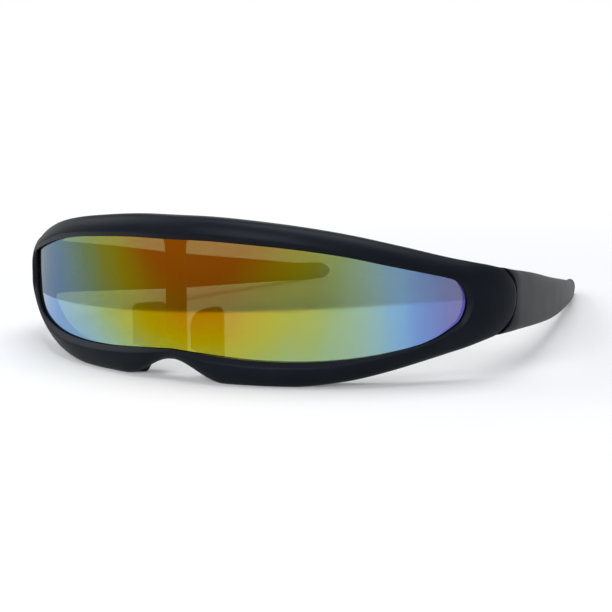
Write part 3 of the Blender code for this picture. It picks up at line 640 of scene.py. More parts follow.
@dataclass
class FrontRim(Piece):
    """The full-rim front with its bevelled lip, lens groove, nose notch, endpieces and strut."""

    room: HingeRoom
    lip_proud: float = 0.85 * MM
    lip_ease: float = 0.5 * MM
    groove_depth: float = 1.3 * MM
    seam_rear_round: float = 0.3 * MM
    seam_ease: float = 6.4 * MM
    crease_round: float = 0.22 * MM
    crease_lift: float = 0.0733 * MM
    fan_arc: float = 55.0 * MM
    fan_reach: float = 60.0 * MM
    strut_width: float = 5.4 * MM
    strut_depth: float = 2.4 * MM
    strut_edge: float = 0.5 * MM
    strut_flare: float = 1.1 * MM
    strut_flare_height: float = 3.0 * MM
    strut_root: float = 1.6 * MM
    strut_steps: int = 6
    strut_flare_steps: int = 10
    strut_edge_steps: int = 3
    straight_steps: int = 52
    fan_steps: tuple[int, ...] = (34, 48, 34)
    face_steps: int = 14
    round_steps: int = 5

    @property
    def fan_centre(self) -> Vector:
        """Place that the rays round the wearer's left end start from."""
        return Vector((self.fan_arc, self.shape.tip_height))

    def _seam_corner(self, upper: bool) -> Vector:
        """Corner where the seam meets the front's edge.

        Args:
            upper: Whether it is the top edge or the bottom one.

        Returns:
            Arc and height of the corner.
        """
        shape, place = self.shape, self.fan_centre
        edge = shape.top if upper else shape.bottom
        for _ in range(SOLVE_STEPS):
            arc = shape.seam_crest_arc - shape.seam_setback(place.y)
            place = Vector((arc, edge(arc)))
        return place

    def _fan_headings(self) -> list[float]:
        """Headings of the rays round the wearer's left end, which meet the seam's corners.

        Returns:
            The headings between straight up and straight down, from the first to the last.
        """
        corners = [self._seam_corner(upper) - self.fan_centre for upper in (True, False)]
        stops = [pi / 2, *(atan2(corner.y, corner.x) for corner in corners), -pi / 2]
        headings = []
        for start, end, steps in zip(stops, stops[1:], self.fan_steps):
            headings += evenly(start, end, steps)[:-1]
        return headings[1:]

    def _stations(self) -> list[Profile]:
        """Stations clockwise all round the rim, from the top's middle.

        Returns:
            The window's edge and the rim's front and rear edges at each station.
        """
        shape = self.shape
        arcs = evenly(0.0, self.fan_arc, self.straight_steps)
        upper = (shape.window_top, shape.top, shape.top)
        lower = (shape.window_bottom, shape.bottom, shape.rear_bottom)
        rows = [[Vector((arc, edge(arc))) for edge in upper] for arc in arcs]
        for heading in self._fan_headings():
            window, edge = (furthest(inside, self.fan_centre, heading, self.fan_reach)
                            for inside in (shape.in_window, shape.in_front))
            rows.append([window, edge, edge])
        rows += [[Vector((arc, edge(arc))) for edge in lower] for arc in arcs[::-1]]
        return rows + [[Vector((-place.x, place.y)) for place in row] for row in rows[-2:0:-1]]

    def _profile(self, station: Profile, out: Vector) -> Profile:
        """Section of the rim at a station, from the rear lip round the front face to the back.

        Args:
            station: The window's edge and the rim's front and rear edges.
            out: Unit step of arc and height from the window's edge into the rim.

        Returns:
            Points of the closed section.
        """
        shape, (window, edge, rear) = self.shape, station
        rear_edge, groove = window + out * self.lip_ease, window + out * self.groove_depth
        section = [(rear_edge, shape.lip_back), (rear_edge, shape.behind_lens), (groove, shape.behind_lens),
                   (groove, -CLEARANCE), (window, -CLEARANCE), (window, -self.lip_proud)]
        reach = self.lip_proud
        for _ in range(SOLVE_STEPS):
            reach = -shape.face_depth(*(window + out * reach)) - self.lip_proud
        near, crease, past = (window + out * (reach + step) for step in evenly(
            -self.crease_round, self.crease_round, 2))
        section.append((near, -self.lip_proud - reach + self.crease_round))
        section.append((crease, shape.face_depth(*crease) + self.crease_lift))
        for _, left in quarter_round(self.face_steps):
            place = past + (edge - past) * (1 - left)
            section.append((place, shape.face_depth(*place)))
        inner = shape.inner_depth(rear.x)
        flare_share = (inner - shape.lip_back) / (shape.rim_back - shape.lip_back)
        rear_corner = window + out * shape.rear_flare * flare_share
        inward = rear_corner - rear
        turn = eased(self.seam_rear_round, shape.rear_round, shape.seam_room(*edge) / self.seam_ease)
        turn = min(turn, inward.length * 2 * shape.crown_limit_share)
        inward.normalize()
        for gone, left in quarter_round(self.round_steps):
            section.append((rear + inward * turn * gone, inner - turn * left))
        section.append((rear_corner, inner))
        return [shape.plan.point(place.x, depth, place.y) for place, depth in section]

    def _strut(self) -> Item:
        """Upright strut behind the lens, with eased edges and a flare under the top rim.

        Returns:
            The strut, in the front's frame.
        """
        shape = self.shape
        low = shape.window_bottom(0.0) - self.strut_root
        high = shape.window_top(0.0) + self.strut_root
        flare_end = high - self.strut_root
        flare_start = flare_end - self.strut_flare_height
        heights = [*evenly(low, flare_start, self.strut_steps)[:-1],
                   *evenly(flare_start, flare_end, self.strut_flare_steps), high]
        middle = shape.behind_lens + self.strut_depth / 2
        deep = self.strut_depth / 2 - self.strut_edge
        profiles = []
        for height in heights:
            left = 1 - (height - flare_start) / self.strut_flare_height
            wide = self.strut_width / 2 + self.strut_flare * quarter_roll(left) - self.strut_edge
            profile = []
            for number, (x, y) in enumerate(((wide, deep), (-wide, deep), (-wide, -deep), (wide, -deep))):
                for turn in evenly(number * pi / 2, (number + 1) * pi / 2, self.strut_edge_steps):
                    profile.append(shape.plan.point(x + self.strut_edge * cos(turn),
                                                    middle + y + self.strut_edge * sin(turn), height))
            profiles.append(profile)
        return loft("strut", profiles, Ends.FOLDED)

    def form(self) -> Item:
        """The rim with its hinge pockets and its strut.

        Returns:
            The rim, in the front's frame.
        """
        stations = self._stations()
        outs = ways_out([window for window, _, _ in stations])
        rim = loft("front_rim", list(map(self._profile, stations, outs)), Ends.JOINED)
        for side in SIDE_WORDS:
            self.room.cut(rim, side, -1)
        combine(rim, self._strut(), "UNION")
        return rim


@dataclass
class ShieldLens(Piece):
    """The one-piece mirrored lens: a bent sheet held in the rim's groove."""

    turn_share: float = 0.97
    columns: int = 200
    rows: int = 14

    def _edges(self) -> tuple[list[Vector], list[Vector]]:
        """Edges of the sheet, seated past the window's edge.

        Returns:
            Places of arc and height along the top edge and along the bottom one.
        """
        shape = self.shape
        end = pi / 2 * self.turn_share
        arcs = [shape.plan.lens_half_arc * sin(turn) for turn in evenly(-end, end, self.columns)]
        ring = [Vector((arc, shape.window_top(arc))) for arc in arcs]
        ring += [Vector((arc, shape.window_bottom(arc))) for arc in arcs[::-1]]
        seated = [place + out * shape.lens_seat for place, out in zip(ring, ways_out(ring))]
        return seated[:len(arcs)], seated[len(arcs):][::-1]

    def form(self) -> Item:
        """The bent sheet.

        Returns:
            The sheet, in the front's frame.
        """
        plan, profiles = self.shape.plan, []
        for top, bottom in zip(*self._edges()):
            rise = evenly(bottom, top, self.rows)
            outer = [plan.point(place.x, 0.0, place.y) for place in rise]
            inner = [plan.point(place.x, self.shape.lens_thickness, place.y) for place in rise[::-1]]
            profiles.append(outer + inner)
        return loft("mirror_lens", profiles, Ends.FOLDED)

    def build(self, *materials: Material) -> Item:
        """The lens in its place, with a coat on its outer face.

        Args:
            materials: Material of the outer face, and material of the edge and the inner face.

        Returns:
            The finished lens.
        """
        lens = super().build(*materials)
        axis = Vector((0.0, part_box("shield_lens")[0].y + self.shape.plan.lens_radius))
        for face in lens.data.polygons:
            facing = face.normal.xy.dot((face.center.xy - axis).normalized())
            face.material_index = 0 if facing > cos(pi / 4) else 1
        return lens


@dataclass
class NosePad(Piece):
    """Soft pad that sits astride the bottom rim behind the lens."""

    side: int
    inner: float = 4.7 * MM
    outer: float = 14.7 * MM
    rear_outer: float = 11.6 * MM
    top: float = 18.0 * MM
    depth: float = 6.4 * MM
    inner_round: float = 4.6 * MM
    outer_round: float = 1.8 * MM
    edge_round: float = 0.9 * MM
    skirt: float = 0.8 * MM
    round_steps: int = 12
    edge_steps: int = 6
    side_steps: int = 6
    straight_steps: int = 4
    smooth_angle: ClassVar[float] = radians(50.0)

    def _foot(self, arc: float, depth: float) -> float:
        """Height of the foot: on the rim inside the window, and down behind the rim.

        Args:
            arc: Place along the front.
            depth: Depth behind the lens's face.

        Returns:
            The height.
        """
        shape = self.shape
        if depth > shape.rim_back + CLEARANCE - MERGE:
            return shape.notch_rise + self.skirt
        share = held((depth - shape.lip_back) / (shape.rim_back - shape.lip_back))
        return shape.window_bottom(arc) - shape.rear_flare * share + CLEARANCE

    def _profile(self, shrink: float, depth: float) -> Profile:
        """Face of the pad at a depth, from the middle of its foot up one side and down the other.

        Args:
            shrink: How far the face's edges are drawn in.
            depth: Depth behind the lens's face.

        Returns:
            Points of the closed face.
        """
        rear_share = (depth - self.shape.behind_lens) / self.depth
        outer = self.outer + (self.rear_outer - self.outer) * rear_share - shrink
        inner, top = self.inner + shrink, self.top - shrink
        inner_round = min(self.inner_round, outer - inner - self.outer_round - CLEARANCE)
        halves = []
        for edge, turn, sign in ((outer, self.outer_round, 1), (inner, inner_round, -1)):
            feet = evenly((inner + outer) / 2, edge, self.side_steps)
            half = [(arc, self._foot(arc, depth)) for arc in feet[:-1]]
            half += [(edge, height) for height in evenly(
                self._foot(edge, depth), top - turn, self.side_steps)[:-1]]
            half += [(edge - sign * turn * gone, top - turn * left)
                     for gone, left in quarter_round(self.round_steps)]
            halves.append(half)
        section = halves[0] + halves[1][::-1]
        return [self.shape.plan.point(self.side * arc, depth, height) for arc, height in section]

    def form(self) -> Item:
        """The pad with its rounded front and rear edges.

        Returns:
            The pad, in the front's frame.
        """
        front = self.shape.behind_lens
        behind = self.shape.rim_back + CLEARANCE
        rounds = quarter_round(self.edge_steps)
        layers = [(self.edge_round * left, front + self.edge_round * gone) for gone, left in rounds]
        straight = evenly(front + self.edge_round, self.shape.rim_back, self.straight_steps)[1:]
        layers += [(0.0, depth) for depth in (*straight, behind - 2 * MERGE, behind)]
        rear = front + self.depth
        layers += [(self.edge_round * gone, rear - self.edge_round * left) for gone, left in rounds]
        profiles = [self._profile(shrink, depth) for shrink, depth in layers]
        return loft("soft_pad_" + SIDE_WORDS[self.side], profiles, Ends.FOLDED)


@dataclass
class Arm(Piece):
    """Plain tapering arm with a blunt round end and a curved seam at its front."""

    room: HingeRoom
    side: int
    seam_gap: float = 0.6 * MM
    seam_step: float = 0.45 * MM
    front_rise: float = 6.6 * MM
    front_drop: float = 9.2 * MM
    tip_top: float = 12.0 * MM
    # The last section lies this far short of the tip, where a section would have no height.
    tip_end: float = 0.00054 * MM
    inner_front: float = 3.0 * MM
    inner_tip: float = 1.7 * MM
    edge_round: float = 2.2 * MM
    crown_share: float = 1.4
    top_shares: ShareCurve = ShareCurve((
        (-0.15, -0.22), (0.0, 0.0), (0.1, 0.11), (0.2, 0.22), (0.4, 0.46), (0.6, 0.67), (0.77, 0.84),
        (0.88, 0.95), (1.0, 1.0)))
    bottom_shares: ShareCurve = ShareCurve((
        (-0.15, 0.3), (-0.08, 0.08), (0.0, 0.0), (0.1, 0.12), (0.2, 0.28), (0.42, 0.6), (0.68, 0.8),
        (0.86, 0.94), (1.0, 1.0)))
    seam_row_shares: tuple[float, ...] = (0.0, 0.08, 0.3, 0.65, 1.0, 2.0)
    stations: int = 96
    tip_steps: int = 12
    crown_steps: int = 8
    face_steps: int = 8
    seam_passes: int = 10

    @property
    def start(self) -> float:
        """Arc of the arm's front end at the seam's crest."""
        return self.shape.seam_crest_arc + self.seam_gap

    def _share(self, arc: float) -> float:
        """Share of the way from the seam's crest to the tip."""
        crest = self.shape.seam_crest_arc
        return (arc - crest) / (self.shape.plan.tip_arc - crest)

    def _tip_share(self, arc: float) -> float:
        """Share of the section that is left where the arm's end is rounded."""
        return 1 - quarter_roll((self.shape.plan.tip_arc - arc) / self.shape.arm_tip_round)

    def _span(self, arc: float) -> Pair:
        """Heights of the arm's edges.

        Args:
            arc: Place along the arm.

        Returns:
            The heights of the bottom and the top edge.
        """
        shape, share = self.shape, self._share(arc)
        high, low = shape.hinge_height + self.front_rise, shape.hinge_height - self.front_drop
        top = high + (self.tip_top - high) * self.top_shares.at(share)
        bottom = low + (shape.arm_tip_bottom - low) * self.bottom_shares.at(share)
        middle, half = (top + bottom) / 2, (top - bottom) / 2 * self._tip_share(arc)
        return middle - half, middle + half

    def _levels(self, arc: float, crown: float) -> list[float]:
        """Heights of a section, close together where its edges are rounded.

        Args:
            arc: Arc of the section.
            crown: Height of the rounded edges, where the section has room for it.

        Returns:
            The heights, from bottom to top.
        """
        bottom, top = self._span(arc)
        crown = min(crown, (top - bottom) * self.shape.crown_limit_share)
        rolls = [crown * gone for gone, _ in quarter_round(self.crown_steps)[:-1]]
        middle = evenly(bottom + crown, top - crown, self.face_steps)
        return [bottom + roll for roll in rolls] + middle + [top - roll for roll in rolls[::-1]]

    def _side_of(self, arc: float, lean: float, crown: float, face: float, roll_depth: float) -> Profile:
        """One side of a section, from bottom to top.

        Args:
            arc: Arc of the section at the hinge's height.
            lean: How far the section follows the seam's curve, from 0 to 1.
            crown: Height of the rounded edges.
            face: Depth of the side's face.
            roll_depth: How far the edges roll back from the face, negative towards the outside.

        Returns:
            The side's points.
        """
        shape, points = self.shape, []
        for level in range(2 * self.crown_steps + self.face_steps + 1):
            own_arc = arc
            for _ in range(self.seam_passes):
                height = self._levels(own_arc, crown)[level]
                own_arc = arc - lean * shape.seam_setback(height)
            bottom, top = self._span(own_arc)
            limit = min(crown, (top - bottom) * shape.crown_limit_share)
            depth = face + roll_depth * quarter_roll(min(height - bottom, top - height) / limit)
            room = own_arc + shape.seam_setback(height) - self.start
            if roll_depth > 0:
                depth += shape.seam_round * quarter_roll(room / shape.seam_round)
            points.append(shape.plan.point(self.side * own_arc, depth, height))
        return points

    def _profile(self, arc: float, lean: float) -> Profile:
        """Closed section of the arm, up its outer side and down its inner side.

        Args:
            arc: Arc of the section at the hinge's height.
            lean: How far the section follows the seam's curve, from 0 to 1.

        Returns:
            The section's points.
        """
        inner = self.inner_front + (self.inner_tip - self.inner_front) * held(self._share(arc))
        outer = -self.shape.endpiece_proud + self.seam_step
        deep = self.edge_round * self._tip_share(arc)
        roll = min(self.edge_round, (inner - outer) / 2)
        return (self._side_of(arc, lean, max(deep * self.crown_share, MERGE), outer, roll)
                + self._side_of(arc, lean, max(deep / 2, MERGE), inner, -deep / 2)[::-1])

    def _rows(self) -> list[Pair]:
        """Sections from the seam to the tip.

        Returns:
            Each section's arc and how far it leans with the seam.
        """
        tip, turn = self.shape.plan.tip_arc, self.shape.arm_tip_round
        arcs = [self.start + self.shape.seam_round * share for share in self.seam_row_shares]
        arcs += evenly(arcs[-1], tip - turn, self.stations)[1:-1]
        lean_length = 2 * self.shape.seam_crest
        rows = [(arc, held(1 - (arc - self.start) / lean_length)) for arc in arcs]
        rows += [(tip - turn * left, 0.0) for _, left in quarter_round(self.tip_steps)[:-1]]
        return [*rows, (tip - self.tip_end, 0.0)]

    def form(self) -> Item:
        """The arm with its hinge pocket.

        Returns:
            The arm, in the front's frame.
        """
        profiles = [self._profile(arc, lean) for arc, lean in self._rows()]
        arm = loft("arm_" + SIDE_WORDS[self.side], profiles, Ends.FOLDED)
        self.room.cut(arm, self.side, 1)
        return arm


def math_method(operation: str, flipped: bool = False) -> Callable[..., "Signal"]:
    """Method that puts a Math node on a signal and another value.

    Args:
        operation: What the node works out.
        flipped: Whether the other value comes first.

    Returns:
        The method.
    """
    def method(self: "Signal", other: "Signal | float" = 0.0) -> "Signal":
        """Math node on the two values."""
        values = (other, self) if flipped else (self, other)
        return self.graph.signal("ShaderNodeMath", {"operation": operation}, dict(enumerate(values)))
    return method


@dataclass(frozen=True, eq=False)
class Signal:
    """Shader socket that takes part in Python expressions."""

    graph: "Graph"
    socket: bpy.types.NodeSocket

    __add__ = __radd__ = math_method("ADD")
    __sub__ = math_method("SUBTRACT")
    __rsub__ = math_method("SUBTRACT", flipped=True)
    __mul__ = __rmul__ = math_method("MULTIPLY")
    __truediv__ = math_method("DIVIDE")
    __pow__ = math_method("POWER")
    largest = math_method("MAXIMUM")
    angle_to = math_method("ARCTAN2")
    size = math_method("ABSOLUTE")

    def within(self, low: float, high: float) -> "Signal":
        """Share of the way from low to high, held to 0 and 1."""
        return self.graph.signal("ShaderNodeMapRange", {}, {0: self, 1: low, 2: high})


class Graph:
    """Node tree of one material or of the world."""

    def __init__(self, owner: Material | bpy.types.World) -> None:
        """Starts with an empty tree and its output.

        Args:
            owner: What the tree belongs to.
        """
        owner.use_nodes = True
        self.owner = owner
        self.tree = owner.node_tree
        self.tree.nodes.clear()
        self.output = self.node("ShaderNodeOutput" + type(owner).__name__, {}, {})

    @classmethod
    def of_material(cls, name: str) -> "Graph":
        """Graph of a new material."""
        return cls(bpy.data.materials.new(name))

    def node(self, kind: str, settings: dict, inputs: dict) -> bpy.types.Node:
        """Node of a type, set up and fed.

        Args:
            kind: Type of the node.
            settings: Its own settings, or the stops of a ramp.
            inputs: Values or links of its sockets, by name or number.

        Returns:
            The node.
        """
        made = self.tree.nodes.new(kind)
        for name, value in settings.items():
            if name == "stops":
                self._set_stops(made.color_ramp, value)
            else:
                setattr(made, name, value)
        for key, value in inputs.items():
            if isinstance(value, Signal):
                self.tree.links.new(value.socket, made.inputs[key])
            elif isinstance(value, tuple) and made.inputs[key].type == "RGBA":
                made.inputs[key].default_value = (*value, 1.0)
            else:
                made.inputs[key].default_value = value
        return made

    @staticmethod
    def _set_stops(ramp: bpy.types.ColorRamp, stops: Stops) -> None:
        """Sets the stops of a colour ramp, joined smoothly.

        Args:
            ramp: The ramp.
            stops: Place and colour of each stop, from first to last.
        """
        ramp.interpolation = "CARDINAL"
        while len(ramp.elements) < len(stops):
            ramp.elements.new(1.0)
        for element, (place, colour) in zip(ramp.elements, stops):
            element.position = place
            element.color = (*colour, 1.0)

    def signal(self, kind: str, settings: dict, inputs: dict, output: str | int = 0) -> Signal:
        """One output of a new node."""
        return Signal(self, self.node(kind, settings, inputs).outputs[output])

    def position(self) -> Signal:
        """Object coordinates."""
        return self.signal("ShaderNodeTexCoord", {}, {}, "Object")

    def axes(self, vector: Signal) -> tuple[Signal, Signal, Signal]:
        """The three numbers of a vector."""
        made = self.node("ShaderNodeSeparateXYZ", {}, {0: vector})
        return tuple(Signal(self, socket) for socket in made.outputs)

    def noise(self, vector: Signal, grain: float, detail: float = 3.0, roughness: float = 0.5) -> Signal:
        """Noise whose features have about a given size."""
        inputs = {"Vector": vector, "Scale": 1 / grain, "Detail": detail, "Roughness": roughness}
        return self.signal("ShaderNodeTexNoise", {}, inputs, "Fac")

    def scaled(self, vector: Signal, scale: "Signal | Triple") -> Signal:
        """Vector or colour scaled along its axes."""
        return self.signal("ShaderNodeVectorMath", {"operation": "MULTIPLY"}, {0: vector, 1: scale})

    def ramp(self, share: Signal, stops: Stops) -> Signal:
        """Colour along a ramp of stops."""
        return self.signal("ShaderNodeValToRGB", {"stops": stops}, {"Fac": share}, "Color")

    def blend(self, share: Signal, first: "Signal | Colour", second: "Signal | Colour") -> Signal:
        """Mix of two colours, which enter the node at sockets 6 and 7 and leave it at 2."""
        return self.signal("ShaderNodeMix", {"data_type": "RGBA"}, {0: share, 6: first, 7: second}, 2)

    def bump(self, height: Signal, depth: float, strength: float) -> Signal:
        """Normal that follows a height."""
        inputs = {"Height": height, "Distance": depth, "Strength": strength}
        return self.signal("ShaderNodeBump", {}, inputs, "Normal")

    def principled(self, inputs: dict) -> Signal:
        """Principled shader."""
        return self.signal("ShaderNodeBsdfPrincipled", {}, inputs, "BSDF")

    def glow(self, colour: "Signal | Colour", strength: float) -> Signal:
        """Emission shader."""
        return self.signal("ShaderNodeEmission", {}, {"Color": colour, "Strength": strength})

    def mixed(self, share: Signal, first: Signal, second: Signal) -> Signal:
        """Mix of two shaders."""
        return self.signal("ShaderNodeMixShader", {}, {0: share, 1: first, 2: second})

    def finish(self, shader: Signal) -> Material | bpy.types.World:
        """Feeds the output, and returns what the tree belongs to."""
        self.tree.links.new(shader.socket, self.output.inputs["Surface"])
        return self.owner


@dataclass(frozen=True)
class MatteBlack:
    """Soft matte black moulding with a fine grain and faint handling marks."""

    colour: Colour = (0.0038, 0.0050, 0.0078)
    worn: Colour = (0.0065, 0.0080, 0.0115)
    specular: float = 0.09
    specular_tint: Colour = (0.74, 0.88, 1.0)
    roughness: float = 0.44
    roughness_spread: float = 0.10
    grain_roughness: float = 0.06
    cloud: float = 9.0 * MM
    cloud_band: Pair = (0.35, 0.75)
    cloud_share: float = 0.6
    grain: float = 0.16 * MM
    grain_detail: float = 0.6
    grain_band: Pair = (0.4, 0.8)
    grain_share: float = 0.2
    grain_depth: float = 0.012 * MM
    grain_strength: float = 0.5

    def material(self) -> Material:
        """The finish as node maths.

        Returns:
            The material.
        """
        graph = Graph.of_material("matte_black_moulding")
        place = graph.position()
        cloud = graph.noise(place, self.cloud)
        grain = graph.noise(place, self.grain, roughness=self.grain_detail)
        wear = cloud.within(*self.cloud_band) * self.cloud_share
        wear += grain.within(*self.grain_band) * self.grain_share
        spread = (cloud - NOISE_MIDDLE) * self.roughness_spread
        spread += (grain - NOISE_MIDDLE) * self.grain_roughness
        return graph.finish(graph.principled({
            "Base Color": graph.blend(wear, self.colour, self.worn), "Roughness": spread + self.roughness,
            "Specular IOR Level": self.specular, "Specular Tint": self.specular_tint,
            "Normal": graph.bump(grain, self.grain_depth, self.grain_strength)}))


@dataclass(frozen=True)
class SoftRubber:
    """Soft black rubber with a dusty, slightly uneven skin."""

    colour: Colour = (0.010, 0.011, 0.013)
    dusty: Colour = (0.022, 0.023, 0.025)
    roughness: float = 0.72
    roughness_spread: float = 0.12
    skin: float = 5.0 * MM
    skin_band: Pair = (0.4, 0.8)
    grain: float = 0.22 * MM
    grain_detail: float = 2.0
    grain_depth: float = 0.02 * MM
    grain_strength: float = 0.6

    def material(self) -> Material:
        """The finish as node maths.

        Returns:
            The material.
        """
        graph = Graph.of_material("soft_black_rubber")
        place = graph.position()
        skin = graph.noise(place, self.skin)
        grain = graph.noise(place, self.grain, self.grain_detail)
        return graph.finish(graph.principled({
            "Base Color": graph.blend(skin.within(*self.skin_band), self.colour, self.dusty),
            "Roughness": (skin - NOISE_MIDDLE) * self.roughness_spread + self.roughness,
            "Normal": graph.bump(grain, self.grain_depth, self.grain_strength)}))


@dataclass(frozen=True)
class HingeSteel:
    """Black-oxide steel of the hinge leaves and screws, brushed under its finish."""

    colour: Colour = (0.035, 0.037, 0.042)
    bright: Colour = (0.085, 0.087, 0.092)
    roughness: float = 0.34
    roughness_spread: float = 0.25
    stretch: Triple = (1.0, 0.12, 1.0)
    brush: float = 0.25 * MM
    brush_detail: float = 0.65
    brush_band: Pair = (0.3, 0.7)
    brush_depth: float = 0.01 * MM
    brush_strength: float = 0.4

    def material(self) -> Material:
        """The finish as node maths.

        Returns:
            The material.
        """
        graph = Graph.of_material("brushed_hinge_steel")
        place = graph.scaled(graph.position(), self.stretch)
        brush = graph.noise(place, self.brush, roughness=self.brush_detail)
        return graph.finish(graph.principled({
            "Base Color": graph.blend(brush.within(*self.brush_band), self.colour, self.bright),
            "Metallic": 1.0, "Roughness": (brush - NOISE_MIDDLE) * self.roughness_spread + self.roughness,
            "Normal": graph.bump(brush, self.brush_depth, self.brush_strength)}))


@dataclass(frozen=True)
class MirrorCoat:
    """Interference coat of the lens: gold in its middle, through green and teal to blue at its ends."""

    shape: FrontShape
    phase_shares: tuple[Pair, ...] = (
        (0.0, 0.58), (0.06, 0.66), (0.15, 0.73), (0.21, 0.67), (0.33, 0.48), (0.385, 0.34), (0.445, 0.2),
        (0.5, 0.12), (0.58, 0.1), (0.635, 0.16), (0.7, 0.29), (0.765, 0.4), (0.86, 0.62), (0.905, 0.78),
        (0.96, 0.91), (1.0, 0.98))
    colours: tuple[Colour, ...] = (
        (0.40, 0.105, 0.001), (0.37, 0.20, 0.001), (0.335, 0.275, 0.004), (0.28, 0.30, 0.045),
        (0.225, 0.315, 0.14), (0.20, 0.325, 0.30), (0.15, 0.30, 0.45), (0.10, 0.235, 0.53),
        (0.08, 0.12, 0.45), (0.11, 0.075, 0.33))
    height_per_phase: float = 11.5 * MM
    middle_height: float = 15.0 * MM
    middle_shares: Pair = (0.15, 0.6)
    foot_height: float = 13.0 * MM
    foot_gain: float = 1.8
    near_shares: Pair = (0.42, 0.72)
    near_ease: float = 1.05
    far_shares: Pair = (0.3, 0.6)
    far_ease: float = 0.5
    cloud: float = 30.0 * MM
    cloud_detail: float = 1.0
    cloud_spread: float = 0.25
    haze: float = 4.0 * MM
    haze_band: Pair = (0.3, 0.9)
    haze_roughness: float = 0.03
    roughness: float = 0.03
    opacity: float = 0.86

    def material(self) -> Material:
        """The finish as node maths.

        Returns:
            The material.
        """
        graph = Graph.of_material("mirror_coat")
        place = graph.position()
        x, y, z = graph.axes(place)
        plan, last = self.shape.plan, len(self.colours) - 1
        axis_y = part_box("shield_lens")[0].y + plan.lens_radius
        share = x.angle_to(axis_y - y) * (plan.lens_radius / plan.lens_half_arc)
        phases = [(at, (phase, phase, phase)) for at, phase in self.phase_shares]
        across = graph.ramp(share.within(-1.0, 1.0), phases) * last
        near = share.within(*self.near_shares) * self.near_ease
        far = (0.0 - share).within(*self.far_shares) * self.far_ease
        rise = (self.middle_height - z) / self.height_per_phase * (1.0 - near - far)
        middle = 1.0 - share.size().within(*self.middle_shares)
        foot = (self.foot_height - z).largest(0.0) / self.height_per_phase * middle * self.foot_gain
        cloud = graph.noise(place, self.cloud, self.cloud_detail)
        phase = across + rise + foot + (cloud - NOISE_MIDDLE) * self.cloud_spread
        stops = [(number / last, tuple(value / self.opacity for value in colour))
                 for number, colour in enumerate(self.colours)]
        haze = graph.noise(place, self.haze).within(*self.haze_band)
        return graph.finish(graph.principled({
            "Base Color": graph.ramp(phase.within(0.0, last), stops), "Metallic": 1.0,
            "Roughness": haze * self.haze_roughness + self.roughness, "Alpha": self.opacity}))


@dataclass(frozen=True)
class TintedSheet:
    """Inner face of the lens: clear sheet with a faint olive tint and a weak gloss."""

    tint: Colour = (0.71, 0.89, 0.36)
    skin: Colour = (0.02, 0.025, 0.03)
    skin_share: float = 0.06
    skin_spread: float = 0.04
    roughness: float = 0.08
    haze: float = 6.0 * MM
    haze_band: Pair = (0.3, 0.9)
    haze_roughness: float = 0.05

    def material(self) -> Material:
        """The finish as node maths.

        Returns:
            The material.
        """
        graph = Graph.of_material("tinted_lens_sheet")
        clear = graph.signal("ShaderNodeBsdfTransparent", {}, {"Color": self.tint})
        haze = graph.noise(graph.position(), self.haze)
        rough = haze.within(*self.haze_band) * self.haze_roughness + self.roughness
        skin = graph.principled({"Base Color": self.skin, "Roughness": rough})
        return graph.finish(graph.mixed(haze * self.skin_spread + self.skin_share, clear, skin))


@dataclass(frozen=True)
class Table:
    """Pale floor whose own colour carries the white ground and keeps the shadow."""

    width: float = 6.0
    grain: float = 40.0 * MM
    grain_detail: float = 2.0
    dark: Colour = (0.635, 0.64, 0.65)
    light: Colour = (0.65, 0.655, 0.665)
    glow: float = 1.1
    glow_share: float = 0.15
    glow_band: Pair = (115.0 * MM, 380.0 * MM)

    def material(self) -> Material:
        """Paper that glows for rays that see it directly, in a mirror or through glass.

        Returns:
            The material.
        """
        graph = Graph.of_material("white_table")
        place = graph.position()
        colour = graph.blend(graph.noise(place, self.grain, self.grain_detail), self.dark, self.light)
        paper = graph.signal("ShaderNodeBsdfDiffuse", {}, {"Color": colour})
        path = graph.node("ShaderNodeLightPath", {}, {})
        seen, mirrored, through = (Signal(graph, path.outputs[name]) for name in (
            "Is Camera Ray", "Is Glossy Ray", "Is Transmission Ray"))
        x, y, _ = graph.axes(place)
        away = ((x * x + y * y) ** 0.5).within(*self.glow_band)
        share = away * (1.0 - self.glow_share) + self.glow_share
        glow = graph.glow(WHITE, self.glow)
        return graph.finish(graph.mixed(seen.largest(mirrored).largest(through) * share, paper, glow))

    def build(self) -> None:
        """The floor, named table and dressed."""
        bpy.ops.object.select_all(action="DESELECT")
        bpy.ops.mesh.primitive_plane_add(size=self.width)
        floor = bpy.context.object
        floor.name = "table"
        dress(floor, self.material())


